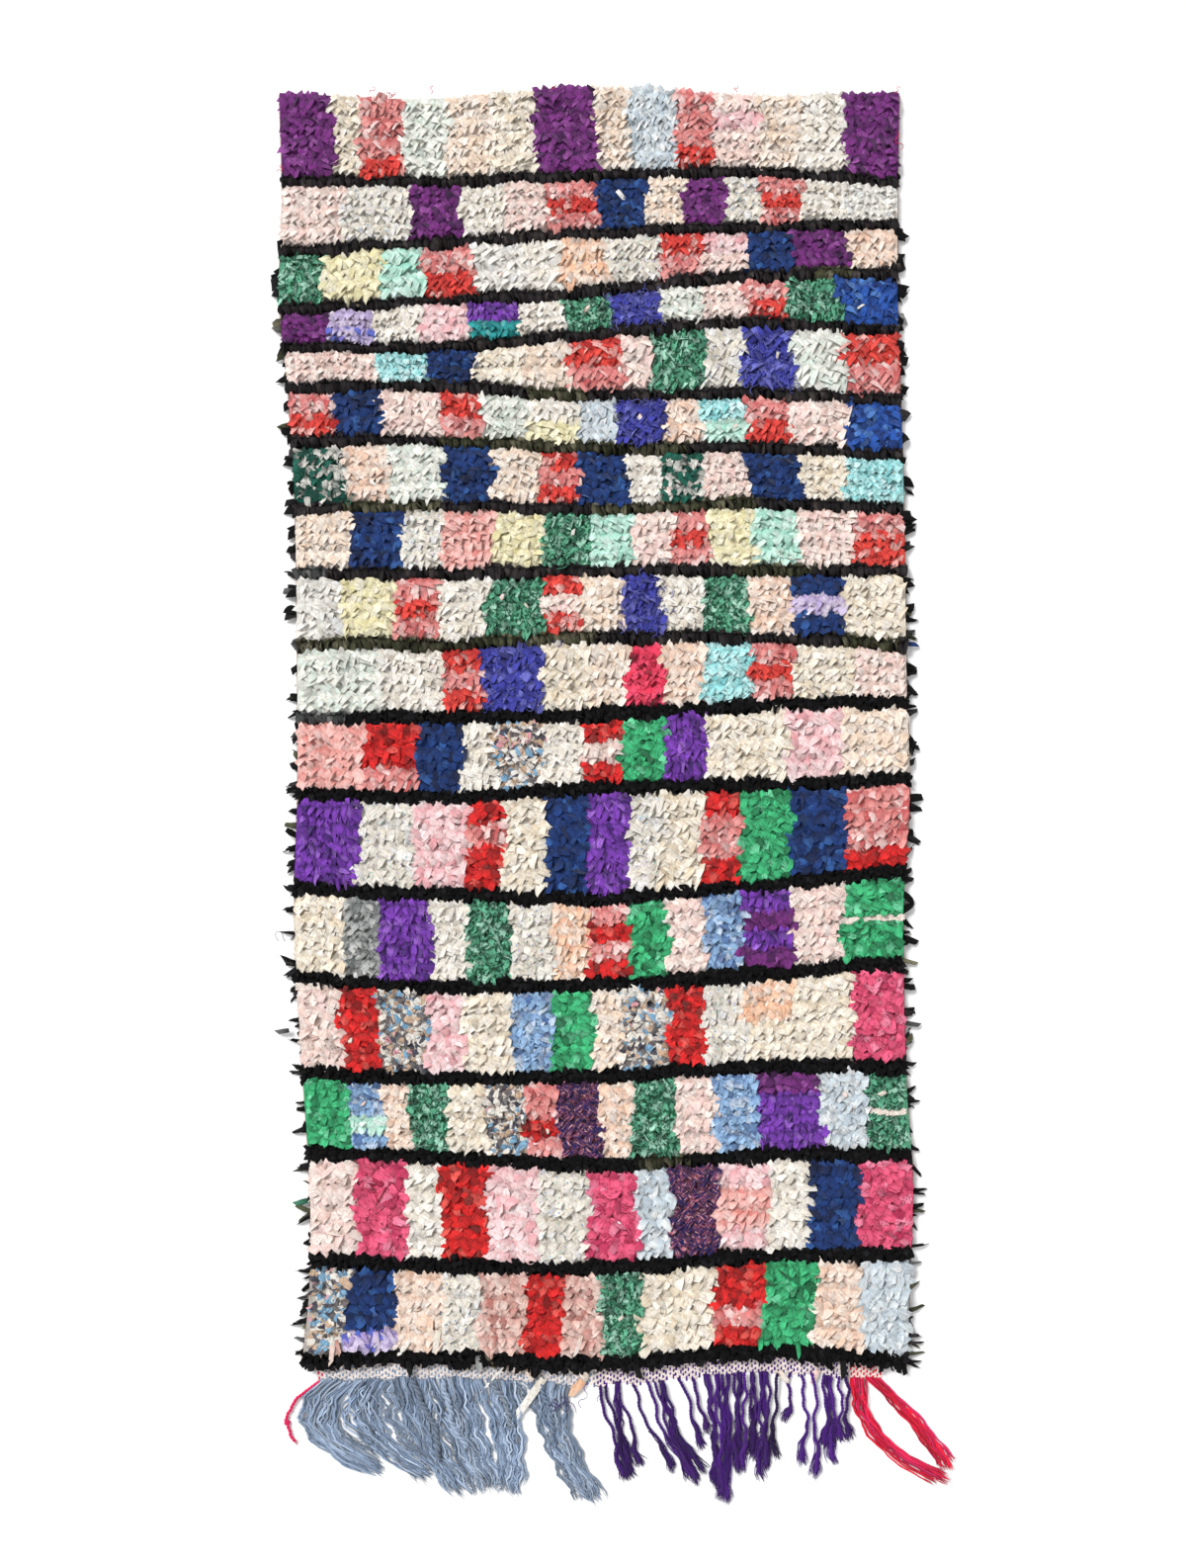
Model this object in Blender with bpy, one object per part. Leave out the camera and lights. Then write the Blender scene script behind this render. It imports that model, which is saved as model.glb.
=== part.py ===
"""A knotted rag rug lying flat, in metres, +Z up.

The pile is one lumpy slab: rows of rag tufts in bands, parted by single black rows, with the ends
of the rags sticking out as locks at its rim. Below it, four stretches of woven heading carry the
loose warp ends as a fringe: pink, blue, purple and red. +X runs across the rug and +Y up its length.
"""

import math
import random
from bisect import bisect_right
from collections import namedtuple

import bmesh
import bpy
from mathutils import Vector

CM = 0.01
HALF = 0.5

# Heights above the floor
PILE_HEIGHT = 0.021
RIM_HEIGHT = 0.016
GROUND_HEIGHT = 0.0045
HEADING_HEIGHT = 0.0038
ROW_RELIEF = 0.0034
LUMP_RELIEF = 0.0026
BLACK_ROW_DROP = 0.0030

# Plan sizes
TOP_EDGE = 1.158
BLACK_ROW = 0.026
HEADING_LENGTH = 0.025
PIECE_GAP = 0.0004
GROUND_INSET = 0.002
ROW_WANDER = 0.0020
TUFT_WANDER = 0.0060
RIM_WANDER = 0.0030
COLUMNS = 20

# Rows of knots in each band, from the top of the rug down
BAND_ROWS = (4, 3, 2, 2, 2, 2, 3, 3, 3, 3, 3, 4, 4, 4, 4, 4, 4)

# How far each line lies below the top edge, in centimetres, at five places across the rug
STATIONS = (0.0, 0.25, 0.5, 0.75, 1.0)
Line = namedtuple("Line", "left left_quarter middle right_quarter right")
TOP_LINE = Line(0.5, 1.5, -0.5, 1.0, 0.5)
BLACK_LINES = (
    Line(15.0, 15.0, 14.0, 13.5, 15.0),
    Line(26.5, 25.0, 23.5, 22.5, 22.0),
    Line(36.0, 34.5, 33.0, 30.5, 30.0),
    Line(42.0, 42.0, 40.0, 38.0, 39.5),
    Line(48.5, 48.5, 50.0, 49.5, 51.0),
    Line(57.5, 57.5, 58.5, 58.5, 59.5),
    Line(68.5, 68.0, 68.5, 67.5, 68.5),
    Line(79.0, 79.0, 78.5, 78.5, 78.5),
    Line(90.5, 90.5, 89.5, 89.5, 90.5),
    Line(102.5, 102.5, 102.0, 100.5, 100.0),
    Line(115.0, 115.5, 114.0, 113.5, 112.5),
    Line(130.5, 131.5, 132.0, 130.0, 127.5),
    Line(145.0, 146.5, 146.0, 144.5, 142.5),
    Line(160.5, 161.5, 161.0, 159.5, 159.5),
    Line(173.5, 174.5, 175.5, 174.0, 174.0),
    Line(191.0, 192.0, 192.5, 190.5, 190.0),
    Line(207.5, 207.0, 208.0, 206.0, 207.5),
)

# The uneven selvedges, in centimetres, by distance below the top edge
Selvedge = namedtuple("Selvedge", "drop left right")
SELVEDGES = (
    Selvedge(0, -54.0, 47.3),
    Selvedge(18, -53.5, 47.0),
    Selvedge(34, -54.0, 47.0),
    Selvedge(50, -52.5, 47.5),
    Selvedge(66, -51.5, 48.0),
    Selvedge(98, -51.0, 48.5),
    Selvedge(115, -51.0, 49.0),
    Selvedge(131, -51.5, 48.0),
    Selvedge(147, -51.0, 48.0),
    Selvedge(163, -50.0, 48.5),
    Selvedge(179, -49.0, 49.5),
    Selvedge(195, -49.0, 49.0),
    Selvedge(210, -50.5, 48.5),
)

# Locks at the rim: every third piece of a side, every second piece of an end
SIDE_LOCK_STEP = 3
END_LOCK_STEP = 2
SIDE_LOCK_LENGTH = (0.008, 0.021)
END_LOCK_LENGTH = (0.004, 0.010)
LOCK_TAPER = 0.35
LOCK_LEAN = 0.005
SQUARE_ON = 0.75

# Fringe clumps, in centimetres: where the roots start and end along the heading, how far the clump
# bulges sideways, how late it sweeps over to its tips (1 is evenly), where the tips lie, how wide
# they spread, and how far down they reach
Clump = namedtuple("Clump", "root_from root_to bulge sweep tip tip_spread reach strands")
PINK_CLUMPS = (Clump(-47.7, -47.1, -3.2, 1.0, -51.3, 0.0, 11.0, 1),)
BLUE_CLUMPS = (
    Clump(-46.3, -41.2, -5.0, 2.0, -38.7, 3.4, 15.6, 6),
    Clump(-40.2, -36.4, -4.0, 1.3, -30.6, 3.0, 16.6, 5),
    Clump(-35.4, -30.4, -1.6, 1.0, -24.6, 3.2, 19.2, 6),
    Clump(-29.3, -22.9, -0.6, 1.0, -19.9, 3.4, 18.6, 7),
    Clump(-21.9, -15.8, 0.6, 1.0, -16.2, 2.8, 18.8, 6),
    Clump(-11.9, -6.6, -1.6, 1.3, -3.2, 3.4, 19.4, 6),
)
PURPLE_CLUMPS = (
    Clump(-1.6, -0.7, -0.2, 1.0, 2.9, 0.9, 16.0, 2),
    Clump(0.9, 1.6, -0.1, 1.0, 5.2, 0.0, 14.6, 1),
    Clump(3.6, 4.2, -0.6, 1.0, 10.4, 0.0, 15.2, 1),
    Clump(6.2, 8.6, -0.9, 1.0, 14.2, 1.7, 16.6, 3),
    Clump(10.8, 11.5, 0.4, 1.0, 15.0, 0.0, 12.5, 1),
    Clump(13.2, 13.9, 0.3, 1.0, 15.6, 0.0, 8.8, 1),
    Clump(16.2, 18.4, -0.2, 1.0, 19.0, 1.2, 22.0, 3),
    Clump(20.4, 22.0, 0.1, 1.0, 21.4, 1.0, 17.0, 2),
    Clump(23.1, 23.8, 0.0, 1.0, 23.2, 0.0, 12.8, 1),
    Clump(24.6, 25.8, 0.2, 1.0, 24.9, 0.8, 17.2, 2),
    Clump(27.1, 27.8, -0.3, 1.0, 26.9, 0.0, 14.0, 1),
    Clump(29.2, 29.8, 0.3, 1.0, 28.8, 0.0, 7.5, 1),
    Clump(31.0, 31.7, 0.8, 1.0, 31.3, 0.0, 14.5, 1),
    Clump(32.8, 33.5, 0.4, 1.0, 33.6, 0.0, 18.2, 1),
    Clump(34.8, 35.4, 0.2, 1.0, 35.2, 0.0, 12.8, 1),
    Clump(36.0, 36.6, 0.0, 1.0, 36.6, 0.0, 15.4, 1),
    Clump(37.3, 37.8, 0.1, 1.0, 37.8, 0.0, 11.4, 1),
    Clump(38.4, 38.9, 0.1, 1.0, 38.9, 0.0, 11.0, 1),
)
RED_CLUMPS = (
    Clump(39.9, 41.5, 0.0, 2.6, 54.0, 2.6, 17.4, 4),
    Clump(42.2, 43.9, 0.9, 1.0, 55.0, 2.2, 15.0, 4),
)

# The four stretches of heading, in centimetres across the rug
Heading = namedtuple("Heading", "node start end clumps colour")
HEADINGS = (
    Heading("fringe_pink", -48.0, -46.8, PINK_CLUMPS, (0.80, 0.05, 0.22)),
    Heading("fringe_blue", -46.74, -2.34, BLUE_CLUMPS, (0.22, 0.32, 0.47)),
    Heading("fringe_purple", -2.28, 39.22, PURPLE_CLUMPS, (0.09, 0.02, 0.22)),
    Heading("fringe_red", 39.28, 44.5, RED_CLUMPS, (0.72, 0.02, 0.05)),
)
STRAND_SECTIONS = 5
STRAND_SHARE = 0.66
STRAND_RAGGED = 0.12
SLANT_STEP = 0.02
STRAND_TIP_HEIGHT = 0.0022
LONE_STRAND_TIP = 0.0032

RAG_COLOUR = (0.80, 0.71, 0.62)
BLACK_COLOUR = (0.012, 0.011, 0.013)
CLOTH_ROUGHNESS = 0.95


def clear_scene():
    for thing in list(bpy.data.objects):
        bpy.data.objects.remove(thing, do_unlink=True)


def material(name, colour):
    made = bpy.data.materials.new(name)
    made.use_nodes = True
    shader = made.node_tree.nodes["Principled BSDF"]
    shader.inputs["Base Color"].default_value = (*colour, 1.0)
    shader.inputs["Roughness"].default_value = CLOTH_ROUGHNESS
    shader.inputs["Metallic"].default_value = 0.0
    return made


def add_object(name, bm, materials):
    bmesh.ops.recalc_face_normals(bm, faces=bm.faces)
    mesh = bpy.data.meshes.new(name)
    bm.to_mesh(mesh)
    bm.free()
    for each in materials:
        mesh.materials.append(each)
    made = bpy.data.objects.new(name, mesh)
    bpy.context.scene.collection.objects.link(made)
    return made


def blend(a, b, share):
    return a + (b - a) * share


def through(stations, values, at):
    """A smooth curve through the values at their stations, read at one place."""
    last = len(stations) - 1
    k = max(0, min(last - 1, bisect_right(stations, at) - 1))
    span = stations[k + 1] - stations[k]
    t = (at - stations[k]) / span

    def slope(i):
        before = max(i - 1, 0)
        after = min(i + 1, last)
        return (values[after] - values[before]) / (stations[after] - stations[before])

    rise = values[k + 1] - values[k]
    start = slope(k) * span - rise
    end = rise - slope(k + 1) * span
    return values[k] + t * rise + t * (1 - t) * ((1 - t) * start + t * end)


def line_drop(line, across):
    """Distance of a line below the top edge, in metres, at a share of the width."""
    return through(STATIONS, line, across) * CM


def selvedge(drop, side):
    """Place across the rug of its left or right selvedge, in metres."""
    drops = [row.drop for row in SELVEDGES]
    places = [getattr(row, side) for row in SELVEDGES]
    return through(drops, places, min(drop / CM, drops[-1])) * CM


def bottom_drop(across):
    return line_drop(BLACK_LINES[-1], across) + BLACK_ROW / 2


def bottom_edge(x):
    """Place along the rug of the pile's bottom edge at a place across it."""
    low = BLACK_LINES[-1].middle * CM
    left = selvedge(low, "left")
    right = selvedge(low, "right")
    return TOP_EDGE - bottom_drop((x - left) / (right - left))


Level = namedtuple("Level", "band share ridge black")


def row_levels():
    """The ridge and the groove below each row of knots, from the top edge down."""
    levels = [Level(0, 0.0, False, False)]
    for band, rows in enumerate(BAND_ROWS):
        for row in range(rows):
            levels.append(Level(band, (row + 0.5) / rows, True, False))
            levels.append(Level(band, (row + 1) / rows, False, False))
        levels.append(Level(band, 0.5, True, True))
        levels.append(Level(band, 1.0, False, True))
    return levels


def level_drop(level, across):
    """Distance of a level below the top edge, in metres."""
    black = line_drop(BLACK_LINES[level.band], across)
    if level.black:
        return black + (level.share - 0.5) * BLACK_ROW
    if level.band:
        upper = line_drop(BLACK_LINES[level.band - 1], across) + BLACK_ROW / 2
    else:
        upper = line_drop(TOP_LINE, across)
    return blend(upper, black - BLACK_ROW / 2, level.share)


def shape_top(bm, levels, dice):
    """Moves a flat grid onto the rows, with a ridge along each row of knots and a lump at each tuft."""
    last = len(levels) - 1
    places = {}
    for vert in bm.verts:
        column = round((vert.co.x + HALF) * COLUMNS)
        places[vert] = (column, round((HALF - vert.co.y) * last))
    for vert, (column, number) in sorted(places.items(), key=lambda item: item[1]):
        level = levels[number]
        across = column / COLUMNS
        drop = level_drop(level, across)
        x = blend(selvedge(drop, "left"), selvedge(drop, "right"), across)
        side = column in (0, COLUMNS)
        end = number in (0, last)
        if side:
            x += dice.uniform(-RIM_WANDER, RIM_WANDER)
        elif not end:
            x += dice.uniform(-TUFT_WANDER, TUFT_WANDER)
            drop += dice.uniform(-ROW_WANDER, ROW_WANDER)
        height = PILE_HEIGHT + dice.uniform(-LUMP_RELIEF, LUMP_RELIEF)
        height += ROW_RELIEF if level.ridge else -ROW_RELIEF
        height -= BLACK_ROW_DROP if level.black and level.ridge else 0.0
        if side or end:
            height = RIM_HEIGHT + dice.uniform(-HALF, HALF) * LUMP_RELIEF
        vert.co = (x, TOP_EDGE - drop, height)


def add_walls(bm):
    """Drops the rim to the ground cloth and on to the floor, and closes the underside."""
    rim = [edge for edge in bm.edges if edge.is_boundary]
    upper = bmesh.ops.extrude_edge_only(bm, edges=rim)["geom"]
    for vert in (item for item in upper if isinstance(item, bmesh.types.BMVert)):
        vert.co.z = GROUND_HEIGHT
    wall = [item for item in upper if isinstance(item, bmesh.types.BMFace)]
    ground = [item for item in upper if isinstance(item, bmesh.types.BMEdge) and item.is_boundary]
    lower = bmesh.ops.extrude_edge_only(bm, edges=ground)["geom"]
    for vert in (item for item in lower if isinstance(item, bmesh.types.BMVert)):
        vert.co.z = 0.0
        vert.co.x -= math.copysign(GROUND_INSET, vert.co.x)
    bmesh.ops.holes_fill(bm, edges=[edge for edge in bm.edges if edge.is_boundary])
    bmesh.ops.recalc_face_normals(bm, faces=bm.faces)
    return wall


def add_lock(bm, face, length, dice):
    """Draws one piece of the rim outwards into a rag end that narrows to its tip."""
    outward = face.normal.copy()
    outward.z = 0.0
    outward.normalize()
    along = Vector((-outward.y, outward.x, 0.0))
    centre = face.calc_center_median()
    tip = bmesh.ops.extrude_discrete_faces(bm, faces=[face])["faces"][0]
    move = outward * length + along * dice.uniform(-LOCK_LEAN, LOCK_LEAN)
    for vert in tip.verts:
        vert.co = centre + move + (vert.co - centre) * LOCK_TAPER


def add_rim_locks(bm, wall, dice):
    """Takes the left, right, bottom and top walls by the way that they face, in order along the rim."""
    for axis, step, lengths in ((0, SIDE_LOCK_STEP, SIDE_LOCK_LENGTH), (1, END_LOCK_STEP, END_LOCK_LENGTH)):
        for facing in (-1, 1):
            faces = [face for face in wall if face.is_valid and face.normal[axis] * facing > SQUARE_ON]
            faces.sort(key=lambda face: face.calc_center_median()[1 - axis])
            for face in faces[1:-1:step]:
                add_lock(bm, face, dice.uniform(*lengths), dice)


def make_pile():
    dice = random.Random(7)
    levels = row_levels()
    bm = bmesh.new()
    bmesh.ops.create_grid(bm, x_segments=COLUMNS, y_segments=len(levels) - 1, size=HALF)
    for face in bm.faces:
        number = int((HALF - face.calc_center_median().y) * (len(levels) - 1))
        face.material_index = int(levels[number + 1].black)
    ends = [edge for edge in bm.edges if all(abs(vert.co.y) == HALF for vert in edge.verts)]
    shape_top(bm, levels, dice)
    bmesh.ops.subdivide_edges(bm, edges=ends, cuts=1)
    wall = add_walls(bm)
    add_rim_locks(bm, wall, dice)
    rags = material("rag_pile", RAG_COLOUR)
    black = material("black_rag", BLACK_COLOUR)
    return add_object("rug_pile", bm, (rags, black))


def clump_pitch(clump, t):
    """Distance from strand to strand in a clump, or the width that a lone strand fills, in metres."""
    root = (clump.root_to - clump.root_from) * CM
    if clump.strands == 1:
        return blend(root / STRAND_SHARE, LONE_STRAND_TIP / STRAND_SHARE, t)
    gaps = clump.strands - 1
    return blend(root / gaps, clump.tip_spread * CM / gaps, t)


def clump_x(clump, share, t):
    """Place across the rug of a strand, by its share of the clump and the way from root to tip."""
    root = blend(clump.root_from, clump.root_to, share)
    tip = clump.tip + (share - 0.5) * clump.tip_spread
    return (blend(root, tip, t**clump.sweep) + clump.bulge * 4 * t * (1 - t)) * CM


def strand_shares(clump):
    if clump.strands == 1:
        return [0.5]
    return [n / (clump.strands - 1) for n in range(clump.strands)]


def strand_roots(clump):
    """(start, end) of each strand's root along the heading's lower edge, in metres."""
    half = clump_pitch(clump, 0.0) * STRAND_SHARE / 2
    places = [clump_x(clump, share, 0.0) for share in strand_shares(clump)]
    return [(place - half, place + half) for place in places]


def heading_front(x):
    return bottom_edge(x) - PIECE_GAP - HEADING_LENGTH


def grow_strand(bm, root, clump, share, dice):
    """Draws a root face out along the floor, section by section, to the strand's tip."""
    start_y = heading_front(clump_x(clump, share, 0.0))
    reach = clump.reach * CM
    face = root
    for section in range(1, STRAND_SECTIONS + 1):
        t = section / STRAND_SECTIONS
        if section == STRAND_SECTIONS and clump.strands > 1:
            t -= dice.uniform(0.0, STRAND_RAGGED)
        ahead = clump_x(clump, share, t)
        slant = (ahead - clump_x(clump, share, t - SLANT_STEP)) / (reach * SLANT_STEP)
        level = 1 / math.hypot(1, slant)
        half = clump_pitch(clump, t) * STRAND_SHARE * level / 2
        across = Vector((level, slant * level, 0.0))
        centre = Vector((ahead, start_y - reach * t, 0.0))
        height = blend(HEADING_HEIGHT, STRAND_TIP_HEIGHT, t)
        face = bmesh.ops.extrude_discrete_faces(bm, faces=[face])["faces"][0]
        left_first = sorted(face.verts, key=lambda v: v.co.x)
        for place, vert in enumerate(left_first):
            side = -half if place < 2 else half
            lifted = vert.co.z > STRAND_TIP_HEIGHT / 2
            vert.co = centre + across * side + Vector((0.0, 0.0, height if lifted else 0.0))


def make_fringe(heading):
    """One stretch of heading with its strands, which are fused to it at their roots."""
    dice = random.Random(heading.node)
    roots = []
    for clump in heading.clumps:
        roots += [(*ends, clump, share) for ends, share in zip(strand_roots(clump), strand_shares(clump))]
    breaks = [heading.start * CM, heading.end * CM]
    breaks += [root[0] for root in roots] + [root[1] for root in roots]
    breaks.sort()
    bm = bmesh.new()
    bmesh.ops.create_grid(bm, x_segments=len(breaks) - 1, y_segments=1, size=HALF)
    for vert in bm.verts:
        x = breaks[round((vert.co.x + HALF) * (len(breaks) - 1))]
        back = vert.co.y > 0
        vert.co = (x, bottom_edge(x) - PIECE_GAP if back else heading_front(x), HEADING_HEIGHT)
    rim = [edge for edge in bm.edges if edge.is_boundary]
    made = bmesh.ops.extrude_edge_only(bm, edges=rim)["geom"]
    for vert in (item for item in made if isinstance(item, bmesh.types.BMVert)):
        vert.co.z = 0.0
    bmesh.ops.holes_fill(bm, edges=[edge for edge in bm.edges if edge.is_boundary])
    bmesh.ops.recalc_face_normals(bm, faces=bm.faces)
    fronts = [face for face in bm.faces if face.normal.y < -SQUARE_ON]
    for start, end, clump, share in roots:
        middle = (start + end) / 2
        root = min(fronts, key=lambda face: abs(face.calc_center_median().x - middle))
        fronts.remove(root)
        grow_strand(bm, root, clump, share, dice)
    return add_object(heading.node, bm, (material(heading.node + "_yarn", heading.colour),))


def centre_on_origin(objects):
    """Moves all pieces alike, so that the middle of their box lies over the origin."""
    points = [vert.co for each in objects for vert in each.data.vertices]
    for axis in (0, 1):
        low = min(point[axis] for point in points)
        high = max(point[axis] for point in points)
        middle = (low + high) / 2
        for point in points:
            point[axis] -= middle


clear_scene()
pieces = [make_pile()]
pieces += [make_fringe(heading) for heading in HEADINGS]
centre_on_origin(pieces)
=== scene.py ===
"""A knotted rag rug laid flat on a pale floor, in metres, +Z up, seen from straight above.

The sections follow the making of the rug: the ground cloth, the rags knotted in row by row, the
black rows between the bands, the loose ends and scraps, and the heading with its fringe.
"""

import math
import random
from bisect import bisect_right
from collections import namedtuple
from functools import partial

import bmesh
import bpy
import numpy as np
from mathutils import Matrix, Vector, noise


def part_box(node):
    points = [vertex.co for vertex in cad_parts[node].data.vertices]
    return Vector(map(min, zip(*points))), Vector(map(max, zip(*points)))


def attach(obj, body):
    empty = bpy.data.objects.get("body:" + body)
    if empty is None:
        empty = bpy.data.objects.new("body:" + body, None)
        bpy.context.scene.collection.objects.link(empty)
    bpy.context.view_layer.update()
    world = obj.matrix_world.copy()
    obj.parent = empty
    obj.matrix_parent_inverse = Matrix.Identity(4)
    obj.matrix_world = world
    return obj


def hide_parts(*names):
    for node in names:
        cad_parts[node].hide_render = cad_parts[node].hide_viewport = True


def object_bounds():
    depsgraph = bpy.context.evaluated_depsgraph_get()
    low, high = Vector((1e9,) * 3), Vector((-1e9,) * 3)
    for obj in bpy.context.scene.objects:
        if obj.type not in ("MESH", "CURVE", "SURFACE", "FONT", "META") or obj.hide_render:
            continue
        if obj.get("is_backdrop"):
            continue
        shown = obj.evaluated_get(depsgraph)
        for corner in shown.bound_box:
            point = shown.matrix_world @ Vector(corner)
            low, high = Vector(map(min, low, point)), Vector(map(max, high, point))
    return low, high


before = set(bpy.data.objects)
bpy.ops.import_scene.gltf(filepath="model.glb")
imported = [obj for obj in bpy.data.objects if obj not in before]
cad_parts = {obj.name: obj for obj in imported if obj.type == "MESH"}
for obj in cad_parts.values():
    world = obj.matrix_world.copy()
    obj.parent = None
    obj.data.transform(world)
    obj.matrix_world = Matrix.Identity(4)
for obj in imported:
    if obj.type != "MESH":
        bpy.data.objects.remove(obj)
cad_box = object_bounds()

# The ground cloth
# The knots sit on a thin plain weave of wool warp and cotton weft, 1.0 by 2.1 metres. It shows at the
# bare selvedges and slits, and underneath, where the backs of the knots lie across the warp.
CM = 0.01
TOP_EDGE = 1.158
BLACK_ROW = 0.026
PIECE_GAP = 0.0004
PINK_HEADING_CM = (-48.0, -46.8)
CLOTH_FLAT = (1.0, 2.1)
CLOTH_HEIGHT = 0.0036
CLOTH_THICKNESS = 0.0020
CLOTH_RIPPLE = 0.0003
RIPPLES = 9
CLOTH_COLUMNS = 40
CLOTH_ROWS = 96
SELVEDGE_SHOWS = 0.003
WARP_PITCH = 0.0044
WEFT_PITCH = 0.0026
WOOL_SCALE = 900.0
WEAVE_RELIEF = 0.0006
SCREEN_GAMMA = 2.2


def rows(kind, *values):
    """The rows of a table, with its columns named."""
    return [kind(*row) for row in values]


# How far each line lies below the top edge, in centimetres, at five places across the rug
STATIONS = (0.0, 0.25, 0.5, 0.75, 1.0)
Line = namedtuple("Line", "left left_quarter middle right_quarter right")
TOP_LINE = Line(0.5, 1.5, -0.5, 1.0, 0.5)
BLACK_LINES = rows(
    Line,
    (15.0, 15.0, 14.0, 13.5, 15.0),
    (26.5, 25.0, 23.5, 22.5, 22.0),
    (36.0, 34.5, 33.0, 30.5, 30.0),
    (42.0, 42.0, 40.0, 38.0, 39.5),
    (48.5, 48.5, 50.0, 49.5, 51.0),
    (57.5, 57.5, 58.5, 58.5, 59.5),
    (68.5, 68.0, 68.5, 67.5, 68.5),
    (79.0, 79.0, 78.5, 78.5, 78.5),
    (90.5, 90.5, 89.5, 89.5, 90.5),
    (102.5, 102.5, 102.0, 100.5, 100.0),
    (115.0, 115.5, 114.0, 113.5, 112.5),
    (130.5, 131.5, 132.0, 130.0, 127.5),
    (145.0, 146.5, 146.0, 144.5, 142.5),
    (160.5, 161.5, 161.0, 159.5, 159.5),
    (173.5, 174.5, 175.5, 174.0, 174.0),
    (191.0, 192.0, 192.5, 190.5, 190.0),
    (207.5, 207.0, 208.0, 206.0, 207.5),
)

# The uneven selvedges, in centimetres, by distance below the top edge
Selvedge = namedtuple("Selvedge", "drop left right")
SELVEDGES = rows(
    Selvedge,
    (0, -54.0, 47.3),
    (18, -53.5, 47.0),
    (34, -54.0, 47.0),
    (50, -52.5, 47.5),
    (66, -51.5, 48.0),
    (98, -51.0, 48.5),
    (115, -51.0, 49.0),
    (131, -51.5, 48.0),
    (147, -51.0, 48.0),
    (163, -50.0, 48.5),
    (179, -49.0, 49.5),
    (195, -49.0, 49.0),
    (210, -50.5, 48.5),
)
SELVEDGE_DROPS = [row.drop for row in SELVEDGES]
SELVEDGE_PLACES = {side: [getattr(row, side) for row in SELVEDGES] for side in ("left", "right")}


def blend(a, b, share):
    return a + (b - a) * share


def through(stations, values, at):
    """A smooth curve through the values at their stations, read at one place."""
    last = len(stations) - 1
    k = max(0, min(last - 1, bisect_right(stations, at) - 1))
    span = stations[k + 1] - stations[k]
    t = (at - stations[k]) / span

    def slope(i):
        before = max(i - 1, 0)
        after = min(i + 1, last)
        return (values[after] - values[before]) / (stations[after] - stations[before])

    rise = values[k + 1] - values[k]
    start = slope(k) * span - rise
    end = rise - slope(k + 1) * span
    return values[k] + t * rise + t * (1 - t) * ((1 - t) * start + t * end)


def line_drop(line, across):
    """Distance of a line below the top edge, in metres, at a share of the width."""
    return through(STATIONS, line, across) * CM


def selvedge(drop, side):
    """Place across the rug of its left or right selvedge, in metres."""
    at = min(max(drop / CM, 0.0), SELVEDGE_DROPS[-1])
    return through(SELVEDGE_DROPS, SELVEDGE_PLACES[side], at) * CM


def across_rug(drop, share):
    return blend(selvedge(drop, "left"), selvedge(drop, "right"), share)


def bottom_drop(share):
    return line_drop(BLACK_LINES[-1], share) + BLACK_ROW / 2


def bottom_edge(x):
    """Place along the rug of the pile's bottom edge at a place across it."""
    low = BLACK_LINES[-1].middle * CM
    left = selvedge(low, "left")
    right = selvedge(low, "right")
    return TOP_EDGE - bottom_drop((x - left) / (right - left))


# The tables count from the middle of the loom, and the frame has the rug centred on the origin.
pink_start, pink_end = (place * CM for place in PINK_HEADING_CM)
pink_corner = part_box("fringe_pink")[1]
pink_back = max(bottom_edge(pink_start), bottom_edge(pink_end)) - PIECE_GAP
to_frame = Matrix.Translation((pink_corner.x - pink_end, pink_corner.y - pink_back, 0.0))


class Wire:
    """An output of a node. A sum on it is written as Python and becomes Math nodes."""

    def __init__(self, finish, socket):
        self.finish = finish
        self.socket = socket

    def math(self, operation, first, second=0.0):
        return self.finish.node("ShaderNodeMath", {"operation": operation}, (first, second))

    def __add__(self, other):
        return self.math("ADD", self, other)

    def __sub__(self, other):
        return self.math("SUBTRACT", self, other)

    def __rsub__(self, other):
        return self.math("SUBTRACT", other, self)

    def __mul__(self, other):
        return self.math("MULTIPLY", self, other)

    def __abs__(self):
        return self.math("ABSOLUTE", self)

    __radd__ = __add__
    __rmul__ = __mul__

    def waves(self, pitch):
        """A wave along a length in metres, from -1 to 1, one to each pitch."""
        return self.math("SINE", self * (2 * math.pi / pitch))


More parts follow.
